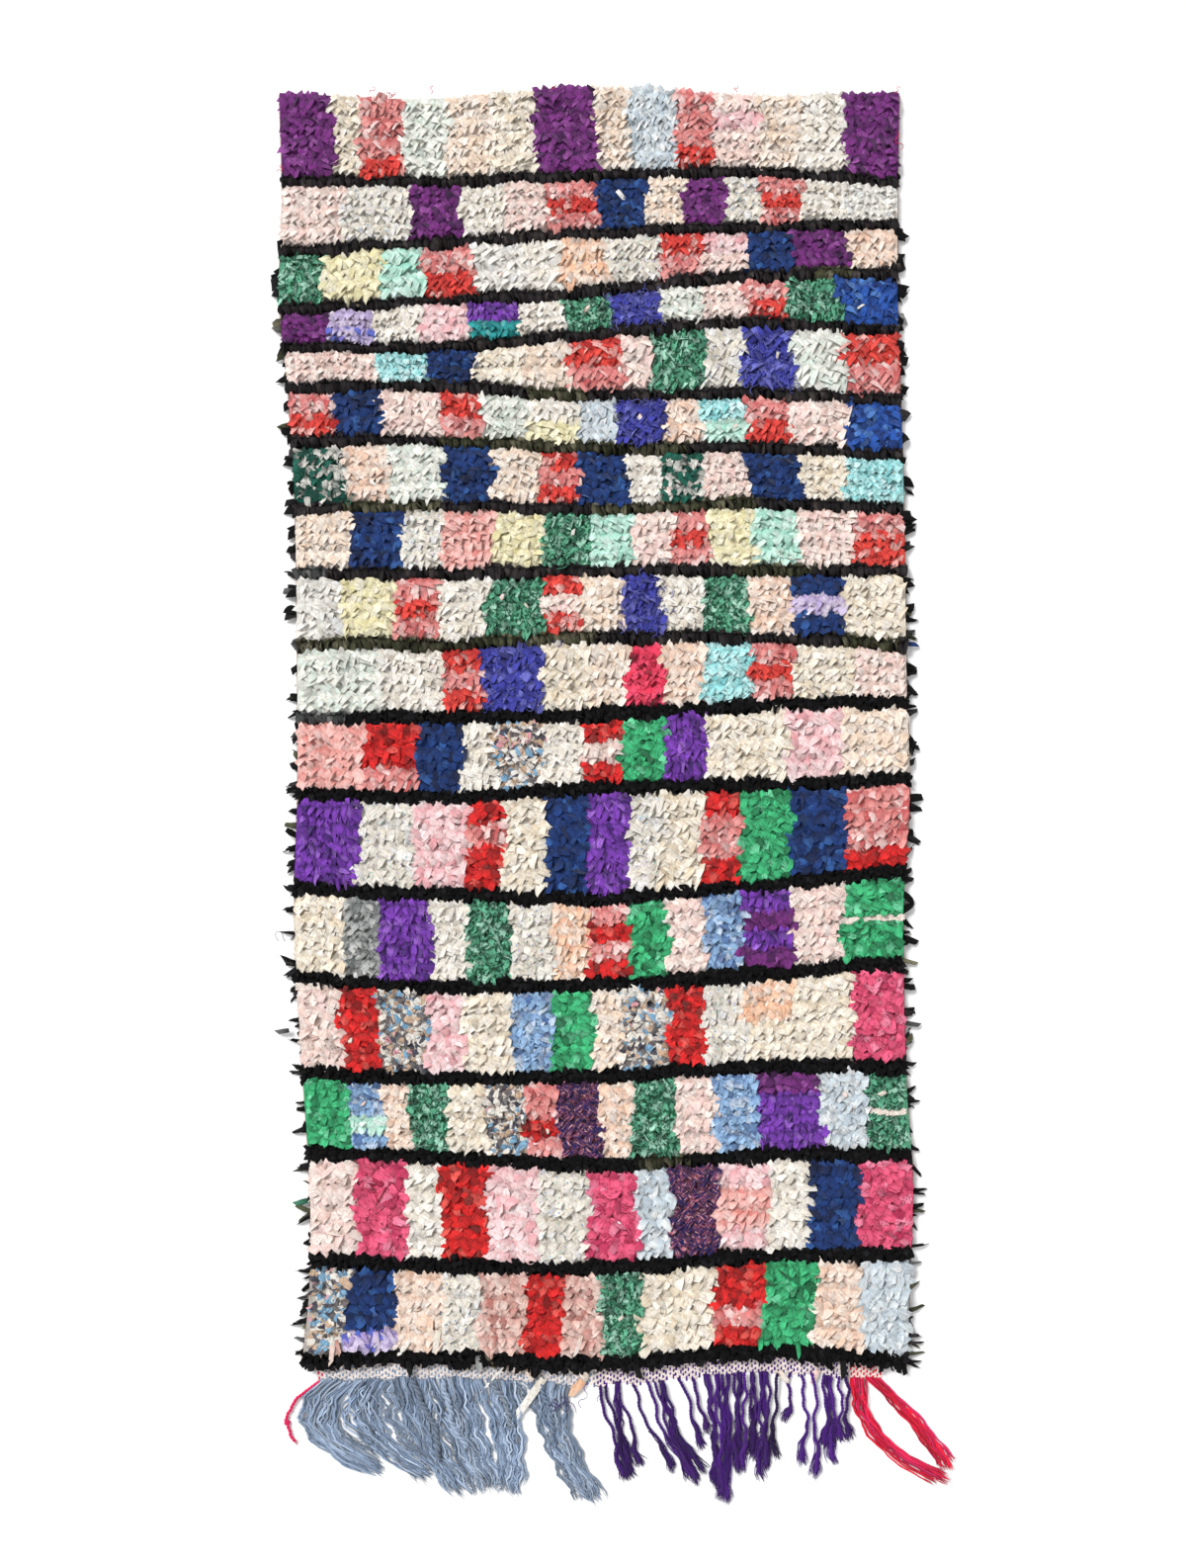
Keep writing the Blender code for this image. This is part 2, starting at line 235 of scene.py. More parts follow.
class Finish:
    """A material in the making: its nodes, and its one Principled shader."""

    def __init__(self, name, **constants):
        self.material = bpy.data.materials.new(name)
        self.material.use_nodes = True
        self.tree = self.material.node_tree
        self.shader = self.tree.nodes["Principled BSDF"]
        for socket, value in constants.items():
            self.shader.inputs[socket.replace("_", " ")].default_value = value

    def node(self, kind, settings, values, output=0):
        """Adds a node: its settings first, then the values or wires of its sockets."""
        made = self.tree.nodes.new(kind)
        for name, value in settings.items():
            if name == "stops":
                ramp = made.color_ramp
                while len(ramp.elements) < len(value):
                    ramp.elements.new(1.0)
                for stop, (place, colour) in zip(ramp.elements, value):
                    stop.position = place
                    stop.color = colour
            elif name == "interpolation":
                made.color_ramp.interpolation = value
            else:
                setattr(made, name, value)
        for key, value in values.items() if isinstance(values, dict) else enumerate(values):
            self.put(made.inputs[key], value)
        return Wire(self, made.outputs[output])

    def put(self, socket, value):
        if isinstance(value, Wire):
            self.tree.links.new(value.socket, socket)
        else:
            socket.default_value = value

    def tint(self, share, first, second, mode="MIX"):
        """A colour between two others, or one laid over the other."""
        settings = {"data_type": "RGBA", "blend_type": mode}
        return self.node("ShaderNodeMix", settings, {0: share, 6: first, 7: second}, 2)

    def place(self):
        return self.node("ShaderNodeTexCoord", {}, {}, "Object")

    def strip(self):
        """Where a point lies on its own strip of cloth: metres across it and along it."""
        return self.node("ShaderNodeUVMap", {"uv_map": "strip"}, {})

    def parts(self, vector):
        split = self.node("ShaderNodeSeparateXYZ", {}, (vector,))
        return [Wire(self, output) for output in split.socket.node.outputs]

    def stretched(self, vector, scale):
        return self.node("ShaderNodeMapping", {}, {"Vector": vector, "Scale": scale})

    def mottle(self, vector, scale, detail=2.0):
        values = {"Vector": vector, "Scale": scale, "Detail": detail}
        return self.node("ShaderNodeTexNoise", {}, values)

    def limit(self, value, low, high):
        """A value from 0 to 1 as another goes from low to high."""
        return self.node("ShaderNodeMapRange", {"clamp": True}, {0: value, 1: low, 2: high})

    def attribute(self, name):
        return self.node("ShaderNodeAttribute", {"attribute_name": name}, {})

    def done(self, colour, roughness, relief, depth):
        """Wires what varies over the cloth into the shader, with the relief as a bump in metres."""
        self.put(self.shader.inputs["Base Color"], colour)
        self.put(self.shader.inputs["Roughness"], roughness)
        values = {"Height": relief, "Distance": depth}
        self.put(self.shader.inputs["Normal"], self.node("ShaderNodeBump", {}, values))
        return self.material


def dye(*seen):
    """A colour as it is seen, each part from 0 to 255, as light with full cover."""
    return tuple((part / 255) ** SCREEN_GAMMA for part in seen) + (1.0,)


def mesh_of(bm, name):
    mesh = bpy.data.meshes.new(name)
    bm.to_mesh(mesh)
    bm.free()
    return mesh


def arrays_of(bm):
    """The points and faces of a shape that is copied many times."""
    bm.verts.index_update()
    points = np.array([vert.co[:] for vert in bm.verts])
    faces = np.array([[vert.index for vert in face.verts] for face in bm.faces])
    bm.free()
    return points, faces


def add_piece(name, mesh, material, slot):
    """Puts a finished mesh in the frame as a piece of the rug."""
    mesh.transform(to_frame)
    mesh.materials.append(material)
    made = bpy.data.objects.new(name, mesh)
    bpy.context.scene.collection.objects.link(made)
    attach(made, "root")
    return made


def weave_finish(name, weft, warp):
    """Plain weave: fat weft ridges across the rug, with the warp showing between them."""
    finish = Finish(name)
    x, y, _ = finish.parts(finish.place())
    picks = y.waves(WEFT_PITCH)
    sheds = x.waves(WARP_PITCH)
    relief = picks * sheds * 0.5 + 0.5
    wool = finish.mottle(finish.place(), WOOL_SCALE, 4.0)
    colour = finish.tint(finish.limit(relief + wool * 0.5, 0.35, 0.7), warp, weft)
    worn = finish.tint(wool, dye(190, 170, 160), dye(255, 250, 245))
    colour = finish.tint(0.35, colour, worn, "MULTIPLY")
    return finish.done(colour, wool * 0.2 + 0.75, relief + wool * 0.3, WEAVE_RELIEF)


def weave_cloth():
    bm = bmesh.new()
    bmesh.ops.create_grid(bm, x_segments=CLOTH_COLUMNS, y_segments=CLOTH_ROWS, size=0.5)
    for vert in bm.verts:
        share = vert.co.x + 0.5
        drop = blend(line_drop(TOP_LINE, share), bottom_drop(share), 0.5 - vert.co.y)
        x = across_rug(drop, share)
        if share in (0.0, 1.0):
            x += math.copysign(SELVEDGE_SHOWS, vert.co.x)
        ripple = noise.noise(Vector((x * RIPPLES, drop * RIPPLES, 0))) * CLOTH_RIPPLE
        vert.co = (x, TOP_EDGE - drop, CLOTH_HEIGHT + ripple)
    bmesh.ops.solidify(bm, geom=bm.faces[:], thickness=CLOTH_THICKNESS)
    bmesh.ops.recalc_face_normals(bm, faces=bm.faces)
    finish = weave_finish("plain_weave", dye(226, 208, 200), dye(120, 90, 92))
    return add_piece("ground_cloth", mesh_of(bm, "ground_cloth"), finish, "rag_pile")


ground_cloth = weave_cloth()

# The rags
# Each knot is a strip torn from worn clothes and bedding, tied round the warp with both ends up. The ends
# lean down the rug in rows. The table gives each kind of rag: its cloth, how it was cut, its colour, the
# colour of painted shade that its folds, roots and low sides are darkened toward, and a second colour that
# some of its ends have, which for most rags is a lighter copy of its colour as painted highlight.
Rag = namedtuple("Rag", "cloth cut colour deep fleck flecked")
RAGS = {
    "cream": Rag("jersey", "chip", (250, 246, 234), (229, 213, 184), (252, 249, 242), 0.3),
    "ivory": Rag("jersey", "ruffle", (252, 251, 246), (226, 219, 203), (242, 238, 226), 0.2),
    "white": Rag("jersey", "chip", (251, 250, 244), (216, 216, 209), (238, 242, 244), 0.2),
    "oat": Rag("jersey", "ruffle", (252, 246, 238), (238, 215, 192), (252, 233, 215), 0.3),
    "peach": Rag("jersey", "ruffle", (251, 240, 229), (235, 191, 162), (250, 242, 234), 0.25),
    "apricot": Rag("jersey", "fold", (250, 240, 228), (243, 181, 142), (248, 214, 186), 0.3),
    "blush": Rag("jersey", "chip", (252, 242, 235), (236, 203, 192), (252, 226, 222), 0.25),
    "dusty": Rag("jersey", "ruffle", (243, 212, 201), (176, 104, 96), (250, 230, 220), 0.35),
    "pink": Rag("jersey", "tab", (254, 232, 233), (230, 154, 162), (254, 240, 241), 0.2),
    "hot": Rag("cotton", "tab", (255, 106, 144), (168, 18, 72), (254, 146, 176), 0.16),
    "rose": Rag("jersey", "ruffle", (244, 170, 166), (186, 66, 70), (254, 228, 224), 0.3),
    "red": Rag("cotton", "tab", (248, 46, 46), (78, 0, 8), (250, 96, 88), 0.18),
    "scarlet": Rag("cotton", "ruffle", (250, 84, 74), (160, 16, 22), (252, 188, 180), 0.26),
    "salmon": Rag("jersey", "chip", (255, 212, 205), (226, 128, 120), (254, 224, 218), 0.2),
    "crimson": Rag("cotton", "chip", (255, 88, 122), (228, 44, 78), (30, 14, 20), 0.12),
    "lemon": Rag("jersey", "tab", (252, 248, 216), (222, 214, 158), (252, 250, 230), 0.2),
    "mint": Rag("jersey", "chip", (220, 253, 241), (146, 218, 196), (236, 253, 247), 0.25),
    "aqua": Rag("cotton", "chip", (204, 254, 254), (102, 200, 204), (222, 252, 252), 0.25),
    "teal": Rag("cotton", "ruffle", (52, 172, 172), (16, 96, 104), (110, 206, 204), 0.2),
    "frost": Rag("jersey", "chip", (250, 252, 245), (215, 224, 214), (228, 242, 234), 0.25),
    "ice": Rag("jersey", "fold", (229, 240, 244), (172, 191, 206), (244, 248, 248), 0.3),
    "sky": Rag("cotton", "chip", (168, 208, 246), (40, 76, 140), (214, 234, 252), 0.25),
    "blue": Rag("cotton", "tab", (46, 96, 190), (0, 12, 60), (86, 138, 218), 0.2),
    "navy": Rag("cotton", "tab", (32, 66, 132), (0, 4, 26), (54, 100, 172), 0.16),
    "cobalt": Rag("frayed", "chip", (76, 80, 192), (16, 16, 84), (120, 124, 220), 0.3),
    "lilac": Rag("jersey", "ruffle", (220, 208, 236), (166, 146, 206), (238, 228, 244), 0.3),
    "bluebell": Rag("jersey", "ruffle", (226, 214, 240), (130, 116, 194), (84, 112, 214), 0.38),
    "violet": Rag("cotton", "pleat", (140, 73, 202), (28, 4, 72), (166, 108, 222), 0.2),
    "plum": Rag("cotton", "tab", (132, 54, 138), (28, 0, 48), (158, 82, 164), 0.2),
    "green": Rag("cotton", "tab", (74, 206, 138), (0, 70, 38), (116, 226, 170), 0.14),
    "sea": Rag("mottled", "leaf", (112, 196, 158), (12, 62, 48), (176, 232, 206), 0.4),
    "forest": Rag("cotton", "leaf", (30, 108, 90), (8, 54, 46), (246, 246, 238), 0.55),
    "grey": Rag("cotton", "chip", (188, 192, 190), (68, 76, 78), (240, 242, 238), 0.3),
    "dotted": Rag("speckled", "ruffle", (246, 244, 236), (216, 210, 194), (236, 238, 240), 0.2),
    "print": Rag("printed", "tab", (226, 222, 214), (84, 78, 78), (196, 172, 148), 0.3),
    "tweed": Rag("tweed", "chip", (150, 82, 104), (30, 18, 44), (188, 104, 116), 0.35),
    "ink": Rag("black", "ripple", (62, 58, 60), (8, 8, 9), (84, 78, 76), 0.15),
    "black": Rag("black", "mat", (16, 16, 18), (2, 2, 3), (34, 33, 36), 0.25),
    "olive": Rag("black", "ripple", (90, 92, 70), (18, 20, 12), (124, 122, 100), 0.3),
    "ash": Rag("black", "ripple", (104, 106, 106), (36, 38, 40), (150, 152, 152), 0.25),
}

# How a rag's ends are cut and set, in metres and degrees: their width, the pitch between them, how far
# they roll onto the side that they lean to and how much that varies, how far the two ends of a knot
# lean apart, how much they scatter and fan out, how much they crumple, curl and narrow to a point,
# their grid, and the tiers that they stand in
Cut = namedtuple("Cut", "width pitch roll tilt apart scatter fan crumple curl point columns sections tiers")
CUTS = {
    "pleat": Cut(0.0138, 0.0058, 34, 12, 26, 8, 26, 0.20, 0.2, 0.15, 2, 3, "rosette"),
    "fold": Cut(0.0130, 0.0060, 24, 14, 36, 9, 10, 0.20, 0.15, 0.12, 2, 3, "rosette"),
    "ruffle": Cut(0.0142, 0.0066, 24, 14, 42, 9, 8, 0.20, 0.15, 0.12, 2, 3, "rosette"),
    "chip": Cut(0.0152, 0.0070, 24, 14, 44, 9, 8, 0.16, 0.1, 0.12, 2, 3, "rosette"),
    "tab": Cut(0.0170, 0.0084, 22, 16, 40, 12, 8, 0.26, 0.25, 0.2, 2, 3, "rosette"),
    "leaf": Cut(0.0132, 0.0066, 22, 22, 38, 18, 10, 0.30, 0.1, 0.3, 2, 3, "rosette"),
    "ripple": Cut(0.0150, 0.0072, 42, 12, 4, 12, 0, 0.26, 0.2, 0.1, 2, 4, "ridge"),
    "mat": Cut(0.0112, 0.0058, 0, 34, 28, 30, 6, 0.38, 0.5, 0.2, 2, 3, "crest"),
    "rolled": Cut(0.0110, 0.0300, 0, 10, 12, 24, 0, 0.16, 1.4, 0.7, 3, 4, "crest"),
    "strip": Cut(0.0100, 0.0300, 0, 10, 0, 0, 0, 0.10, 0.3, 0.2, 2, 5, "crest"),
}
CUT_VARIANTS = 7

# An end is narrow where its knot gathers it, opens over the first part of its length, and is cut askew.
# Its crumples come from smooth noise: their scale across it and along it, how far they push it out of
# place across and along, and how wide the field of noise is that the ends are spread over.
GATHERED = 0.8
OPENING = 2.2
ASKEW = 0.45
CRUMPLE_SCALE = (2.4, 2.6)
CRUMPLE_SHARES = (0.5, 0.15)
NOISE_FIELD = 90

# The tiers of ends in a row of knots: the share of the row's height where the ends start, whether they
# run down the rug or up it, how far they reach as a share of that height, and their heights above the
# floor at the knot, the crown and the tip
Tier = namedtuple("Tier", "root down reach knot crown tip")
TIERS = {
    "ridge": (
        Tier(0.40, -1, 0.60, 0.0080, 0.0160, 0.0100),
        Tier(0.06, 1, 1.00, 0.0090, 0.0205, 0.0100),
    ),
    "crest": (
        Tier(0.50, -1, 0.80, 0.0080, 0.0185, 0.0150),
        Tier(0.40, 1, 0.86, 0.0080, 0.0190, 0.0150),
        Tier(0.25, 1, 0.50, 0.0120, 0.0205, 0.0180),
    ),
    "rosette": (
        Tier(0.48, -1, 0.68, 0.0100, 0.0190, 0.0150),
        Tier(0.42, 1, 0.84, 0.0110, 0.0205, 0.0155),
        Tier(0.08, 1, 0.74, 0.0130, 0.0225, 0.0180),
    ),
}

# The chart: for each band its rows, the lean of its ends at the left and right in degrees, their size,
# and its blocks from left to right, each with its rag and width in centimetres. A rag that changes
# from row to row is given from the top row down.
Band = namedtuple("Band", "rows lean_left lean_right size blocks")
CHART = (
    Band(4, 12, -10, 0.85,
         "plum 8.5, cream 4.5, rose/rose/rose/scarlet 7, frost 7.5, oat 7.5, cream 7, plum 10, "
         "oat 5.5, ice 7.5, rose/rose/rose/scarlet 6, blush/pink/blush/blush 8, oat 7, ivory 7, plum 9"),
    Band(3, 5, -10, 0.85,
         "blush 10, dotted 10.5, plum 8.5, ivory 7, blush 7, rose/scarlet/rose 8, navy 8, oat 6, "
         "plum 6.5, dotted 5.5, rose/scarlet/rose 7, ivory 7, white 8.5"),
    Band(2, 5, -9, 0.85,
         "sea 7, lemon 9, mint 7, rose/scarlet 8, white 8, ivory 6, apricot 7.5, dotted 8, "
         "scarlet/rose 7.5, pink/blush 6.5, navy 8, plum 8.5, peach 8"),
    Band(2, 5, 4, 0.85,
         "plum 7.5, lilac/bluebell 8, ivory 7.5, pink 7.5, violet/teal 8, ivory 7, sea 8, cobalt 7.5, "
         "frost 7, blush 7, rose/scarlet 6, sea 9, blue 9.5"),
    Band(2, 8, 7, 0.9,
         "blush 15, aqua 8, navy 7.5, cream 7.5, oat 8, scarlet/rose 8.5, blush 4.5, sea 8.5, "
         "dotted 6, cobalt 8, frost 8.5, scarlet/rose 8.5"),
    Band(2, 10, 7, 0.95,
         "rose/scarlet 7, navy 8.5, blush 9, scarlet/rose 7.5, frost 7, ivory/lemon 8, ice 6.5, "
         "cobalt 7.5, peach 6.5, aqua/mint 7.5, rose/scarlet 7, blush 9, blue 9"),
    Band(3, 13, 10, 0.95,
         "forest 8.5, peach 7, frost 8.5, navy 8.5, oat 7.5, scarlet/rose/scarlet 6.5, navy 8, "
         "ivory 5, forest 7.5, blush 6.5, navy 9, cream 7, aqua 9.5"),
    Band(3, 12, 11, 1.0,
         "oat 9, navy 8, dotted 7, salmon 8, lemon 8.5, sea 7, mint 7.5, blush 6, "
         "rose/scarlet/rose 6.5, lemon 7, mint 7, blush 9, rose/scarlet/scarlet 8.5"),
    Band(3, 12, 10, 1.0,
         "white 7, lemon 8.5, rose/scarlet/rose 7.5, ivory 7.5, sea 9, scarlet/blush/scarlet 6, "
         "oat 6.5, cobalt 6.5, ivory 6.5, sea 7.5, peach 6.5, navy/lilac/navy 8.5, cream 10"),
    Band(3, 9, 10, 1.0,
         "frost 13, ivory 10.5, scarlet/rose/scarlet 6, cobalt 10, cream 7.5, oat 6, crimson 5.5, "
         "peach 6.5, aqua 7.5, rose/scarlet/rose 7, cream 10, blush 8"),
    Band(3, 12, 10, 1.05,
         "salmon 10.5, red/red/rose 8.5, navy 7.5, ivory 5, print 8, ivory 6.5, red/blush/red 6, "
         "green 7, violet 7, cream 13, pink 9, oat 10.5"),
    Band(4, 13, 11, 1.1,
         "violet 10, dotted 8.5, pink 8.5, red/rose/red/red 6, cream 6.5, navy 7, violet 6.5, "
         "dotted 5, cream 6.5, red/rose/rose/red 6.5, green 8, navy 9, rose/rose/rose/red 9.5"),
    Band(4, 11, 10, 1.1,
         "cream 7.5, grey 6.5, violet 8, ivory 5.5, sea 7.5, dotted 6.5, apricot 6, "
         "rose/red/rose/red 6.5, green 6.5, blush 6, sky 6, violet/plum 8, blush 8, green 10"),
    Band(4, 9, 10, 1.1,
         "blush 6.5, red 6, print 8, pink 6, cream 7, sky 7, green 6.5, oat 4.5, print 7.5, red 6, "
         "dotted 6.5, apricot/apricot/cream/cream 7.5, cream 10, hot 8"),
    Band(4, 11, 9, 1.15,
         "green 7, sky/sky/mint/sky 5.5, peach 4.5, sea 6, cream 6, print 6, rose/rose/red/rose 5.5, "
         "tweed 7, peach 5, sea 7, blush 6.5, sky 7, plum/violet/violet/violet 10, ice 7.5, sea 6.5"),
    Band(4, 12, 9, 1.2,
         "blush 7.5, hot 8, ivory 5.5, red 8, pink 8.5, dotted 8, hot 8, ice 5.5, tweed 8, "
         "pink/salmon/salmon/pink 7.5, ivory 7, navy 8, hot 9"),
    Band(4, 11, 10, 1.2,
         "print 6.5, navy/navy/navy/bluebell 7.5, peach 7.5, dotted 6.5, dusty 7, red 6.5, dusty 6, "
         "sea 6.5, cream 12, red/red/rose/red 8, green 8, peach 7.5, ice 8"),
)
BLOCK_WANDER = 0.0065
PILE_INSET = 0.006

# How the edges of the black rows waver, how thick the first of them is as a share of the last, and how much
# the ends vary in height and shade, how far the darkest of them are painted toward their fold shade as
# painted shade, and how much they vary in place, reach, width, lean and twist, in metres, shares or degrees
EDGE_WAVES = 17
EDGE_WAVER = 0.0065
EDGES_APART = (5.3, 2.0)
FIRST_BLACK_ROW = 0.78
HEIGHT_SPREAD = 0.0016
SHADE_SPREAD = 0.08
SHADED = 0.8
KNOT_JITTER = (0.25, 0.75)
ROW_SPILL = 0.30
ROOT_SPREAD = 0.09
BAND_SPILL = 0.20
SPILL_VARIES = (0.0, 2.0)
REACH_VARIES = (0.85, 1.12)
WIDTH_VARIES = (0.8, 1.25)
LEAN_SPREAD = 8
TWIST_SPREAD = 12

# Slits where two rows part and the bare weft shows: the band, the row below the slit, both counted
# from 0, and where it starts and ends across the rug
Slit = namedtuple("Slit", "band row start end")
SLITS = rows(
    Slit,
    (12, 2, 0.90, 1.0),
    (13, 0, 0.0, 0.06),
    (14, 2, 0.90, 1.0),
)
SLIT_HALF = 0.10

# The scales of what shows on a rag's strip: the folds that run along it as thin lines of painted shade and
# relief, its wrinkles, its knit and its worn patches, then its print or weave. After them the depth of its
# relief, the width of a fold line, and the painted shade that a fold line lays on pale and on strong colours
FOLD_SCALE = (150.0, 42.0, 1.0)
CREASE_SCALE = (420.0, 90.0, 1.0)
KNIT_SCALE = (2600.0, 1500.0, 1.0)
WEAR_SCALE = 160.0
LEAF_SCALE = (170.0, 110.0, 1.0)
RIB_SCALE = (480.0, 80.0, 1.0)
DOT_SCALE = 120.0
PATCH_SCALE = 85.0
PATCH_WANDER = (220.0, 0.004)
RAG_RELIEF = 0.0022
FOLD_WIDTH = 0.022
PALE_CREASE_SHADE = dye(206, 192, 182)
DEEP_CREASE_SHADE = dye(120, 108, 112)

End = namedtuple("End", "x y yaw length width roll twist knot crown tip shade colour deep cut")
Block = namedtuple("Block", "rags start end")


def blocks_of(band):
    """The blocks of a band, with the shares of the width that each lies between."""
    pairs = [block.split() for block in band.blocks.split(",")]
    total = sum(float(width) for _, width in pairs)
    blocks, done = [], 0.0
    for rags, width in pairs:
        share = float(width) / total
        blocks.append(Block(rags.split("/"), done, done + share))
        done += share
    return blocks


def black_drop(number, share, across):
    """Distance below the top edge of a place in a black row: share -0.5 is its top and 0.5 its bottom."""
    line_apart, side_apart = EDGES_APART
    waver = noise.noise(Vector((across * EDGE_WAVES, number * line_apart, share * side_apart))) * EDGE_WAVER
    thickness = BLACK_ROW * blend(FIRST_BLACK_ROW, 1.0, number / (len(BLACK_LINES) - 1))
    return line_drop(BLACK_LINES[number], across) + share * thickness + waver


def row_drop(number, share, across):
    """Distance below the top edge of a place in a band: share 0 is its top and 1 its bottom."""
    upper = black_drop(number - 1, 0.5, across) if number else line_drop(TOP_LINE, across)
    return blend(upper, black_drop(number, -0.5, across), share)


def cut_end(cut, dice):
    """One rag end before it is bent: gathered at its knot, creased along it and cut askew."""
    bm = bmesh.new()
    bmesh.ops.create_grid(bm, x_segments=cut.columns, y_segments=cut.sections, size=0.5)
    slant = dice.uniform(-ASKEW, ASKEW)
    place = Vector((dice.uniform(0, NOISE_FIELD), dice.uniform(0, NOISE_FIELD), 0))
    for vert in bm.verts:
        across = vert.co.x
        along = vert.co.y + 0.5
        at = Vector((across * CRUMPLE_SCALE[0], along * CRUMPLE_SCALE[1], 0)) + place
        bend = noise.noise_vector(at) * cut.crumple
        gathered = blend(GATHERED, 1.0, min(1.0, along * OPENING)) * (1 - cut.point * along)
        vert.co.x = across * gathered + bend.x * CRUMPLE_SHARES[0]
        vert.co.y = along * (1 + slant * across) + bend.y * CRUMPLE_SHARES[1] * along
        vert.co.z = bend.z - across * across * cut.curl * 2
    return arrays_of(bm)


# The noise that crumples the ends starts from a seed, so that they are the same in every run.
noise.seed_set(3)
cutting = random.Random(3)
CUT_ENDS = {
    name: [cut_end(cut, cutting) for _ in range(CUT_VARIANTS)]
    for name, cut in CUTS.items()
}

# How soon the low side of a rolled end falls into painted shade, how far its colour is painted toward its
# fold shade there and at its root, how low an end may lie, and how far apart the ends are taken from their
# cloth, in metres
LOW_SIDE = 3.2
SIDE_PAINTED_SHADE = 0.75
ROOT_PAINTED_SHADE = 0.85
LOWEST = 0.002
STRIP_STEP = (0.013, 0.007)


def join_ends(name, ends, slot, material):
    """Bends rag ends over from their knots and joins them into one piece, each with its own colour, painted
    toward its fold shade at its root and on its low side as painted shade.
    """
    points, faces, colours, strips = [], [], [], []
    done = 0
    for cut in sorted({end.cut for end in ends}):
        shape, quads = CUT_ENDS[cut[0]][cut[1]]
        batch = [end for end in ends if end.cut == cut]
        columns = np.array([end[:11] for end in batch]).T[:, :, None]
        x, y, yaw, length, width, roll, twist, knot, crown, tip, shade = columns
        across, along, puff = shape.T
        rolled = roll + twist * along
        sideways = width * (across * np.cos(rolled) - puff * np.sin(rolled))
        lifted = width * (across * np.sin(rolled) + puff * np.cos(rolled))
        arch = knot * (1 - along) * (1 - 2 * along) + crown * 4 * along * (1 - along)
        arch = arch + tip * along * (2 * along - 1)
        reach = length * along
        place = np.stack((
            x + reach * np.sin(yaw) - sideways * np.cos(yaw),
            y - reach * np.cos(yaw) - sideways * np.sin(yaw),
            np.maximum(arch + lifted, LOWEST),
        ), axis=-1)
        # Painted shade: the colour darkens toward the fold shade at the root of each end and on the low side
        # of its roll.
        low_side = np.clip(-across * np.sin(rolled) * LOW_SIDE, 0, 1)
        depth = np.clip(ROOT_PAINTED_SHADE * (1 - along) ** 2 + SIDE_PAINTED_SHADE * low_side, 0, 1)[..., None]
        surface = np.array([end.colour for end in batch])[:, None]
        fold = np.array([end.deep for end in batch])[:, None]
        colour = blend(surface, fold, depth) * shade[..., None]
        number = np.arange(len(batch))[:, None]
        strip = np.stack((across * width + number * STRIP_STEP[0], reach + number * STRIP_STEP[1]), axis=-1)
        points.append(place.reshape(-1, 3))
        colours.append(colour.reshape(-1, 3))
        strips.append(strip.reshape(-1, 2))
        starts = done + np.arange(len(batch)) * len(shape)
        faces.append((quads[None] + starts[:, None, None]).reshape(-1, 4))
        done += place.shape[0] * place.shape[1]
    mesh = quad_mesh(name, np.concatenate(points), np.concatenate(faces))
    colour_verts(mesh, np.concatenate(colours), np.concatenate(strips))
    return add_piece(name, mesh, material, slot)


def quad_mesh(name, points, faces):
    """A mesh of joined copies, from the arrays of their points and four-sided faces."""
    mesh = bpy.data.meshes.new(name)
    mesh.vertices.add(len(points))
    mesh.vertices.foreach_set("co", points.ravel())
    mesh.loops.add(faces.size)
    mesh.loops.foreach_set("vertex_index", faces.ravel())
    mesh.polygons.add(len(faces))
    mesh.polygons.foreach_set("loop_start", np.arange(0, faces.size, faces.shape[1]))
    mesh.update(calc_edges=True)
    mesh.validate()
    return mesh


def colour_verts(mesh, colours, strips):
    """Gives each point its colour, dyed and with its painted shade, and its place on its own strip of cloth
    as a UV map.
    """
    full = np.ones((len(colours), 4))
    full[:, :3] = colours
    dyed = mesh.color_attributes.new("dyed", "FLOAT_COLOR", "POINT")
    dyed.data.foreach_set("color", full.ravel())
    corners = np.empty(len(mesh.loops), np.int32)
    mesh.loops.foreach_get("vertex_index", corners)
    mesh.uv_layers.new(name="strip")
    mesh.uv_layers["strip"].uv.foreach_set("vector", strips[corners].ravel())


def light_of(seen):
    """A colour as it is seen, as an array of light."""
    return np.array(dye(*seen)[:3])


def dye_and_shade_end(rag, dice):
    """The surface and fold-shade colours of one end. Some are of the second colour, which for most rags is a
    lighter copy as painted highlight, and some are painted toward the fold shade as painted shade.
    """
    flecked = dice.random() < rag.flecked
    surface = light_of(rag.fleck if flecked else rag.colour)
    fold = light_of(rag.deep)
    # Painted shade: each end is darkened toward its fold shade by a random amount, a few of them far.
    return blend(surface, fold, SHADED * dice.random() ** 3), fold


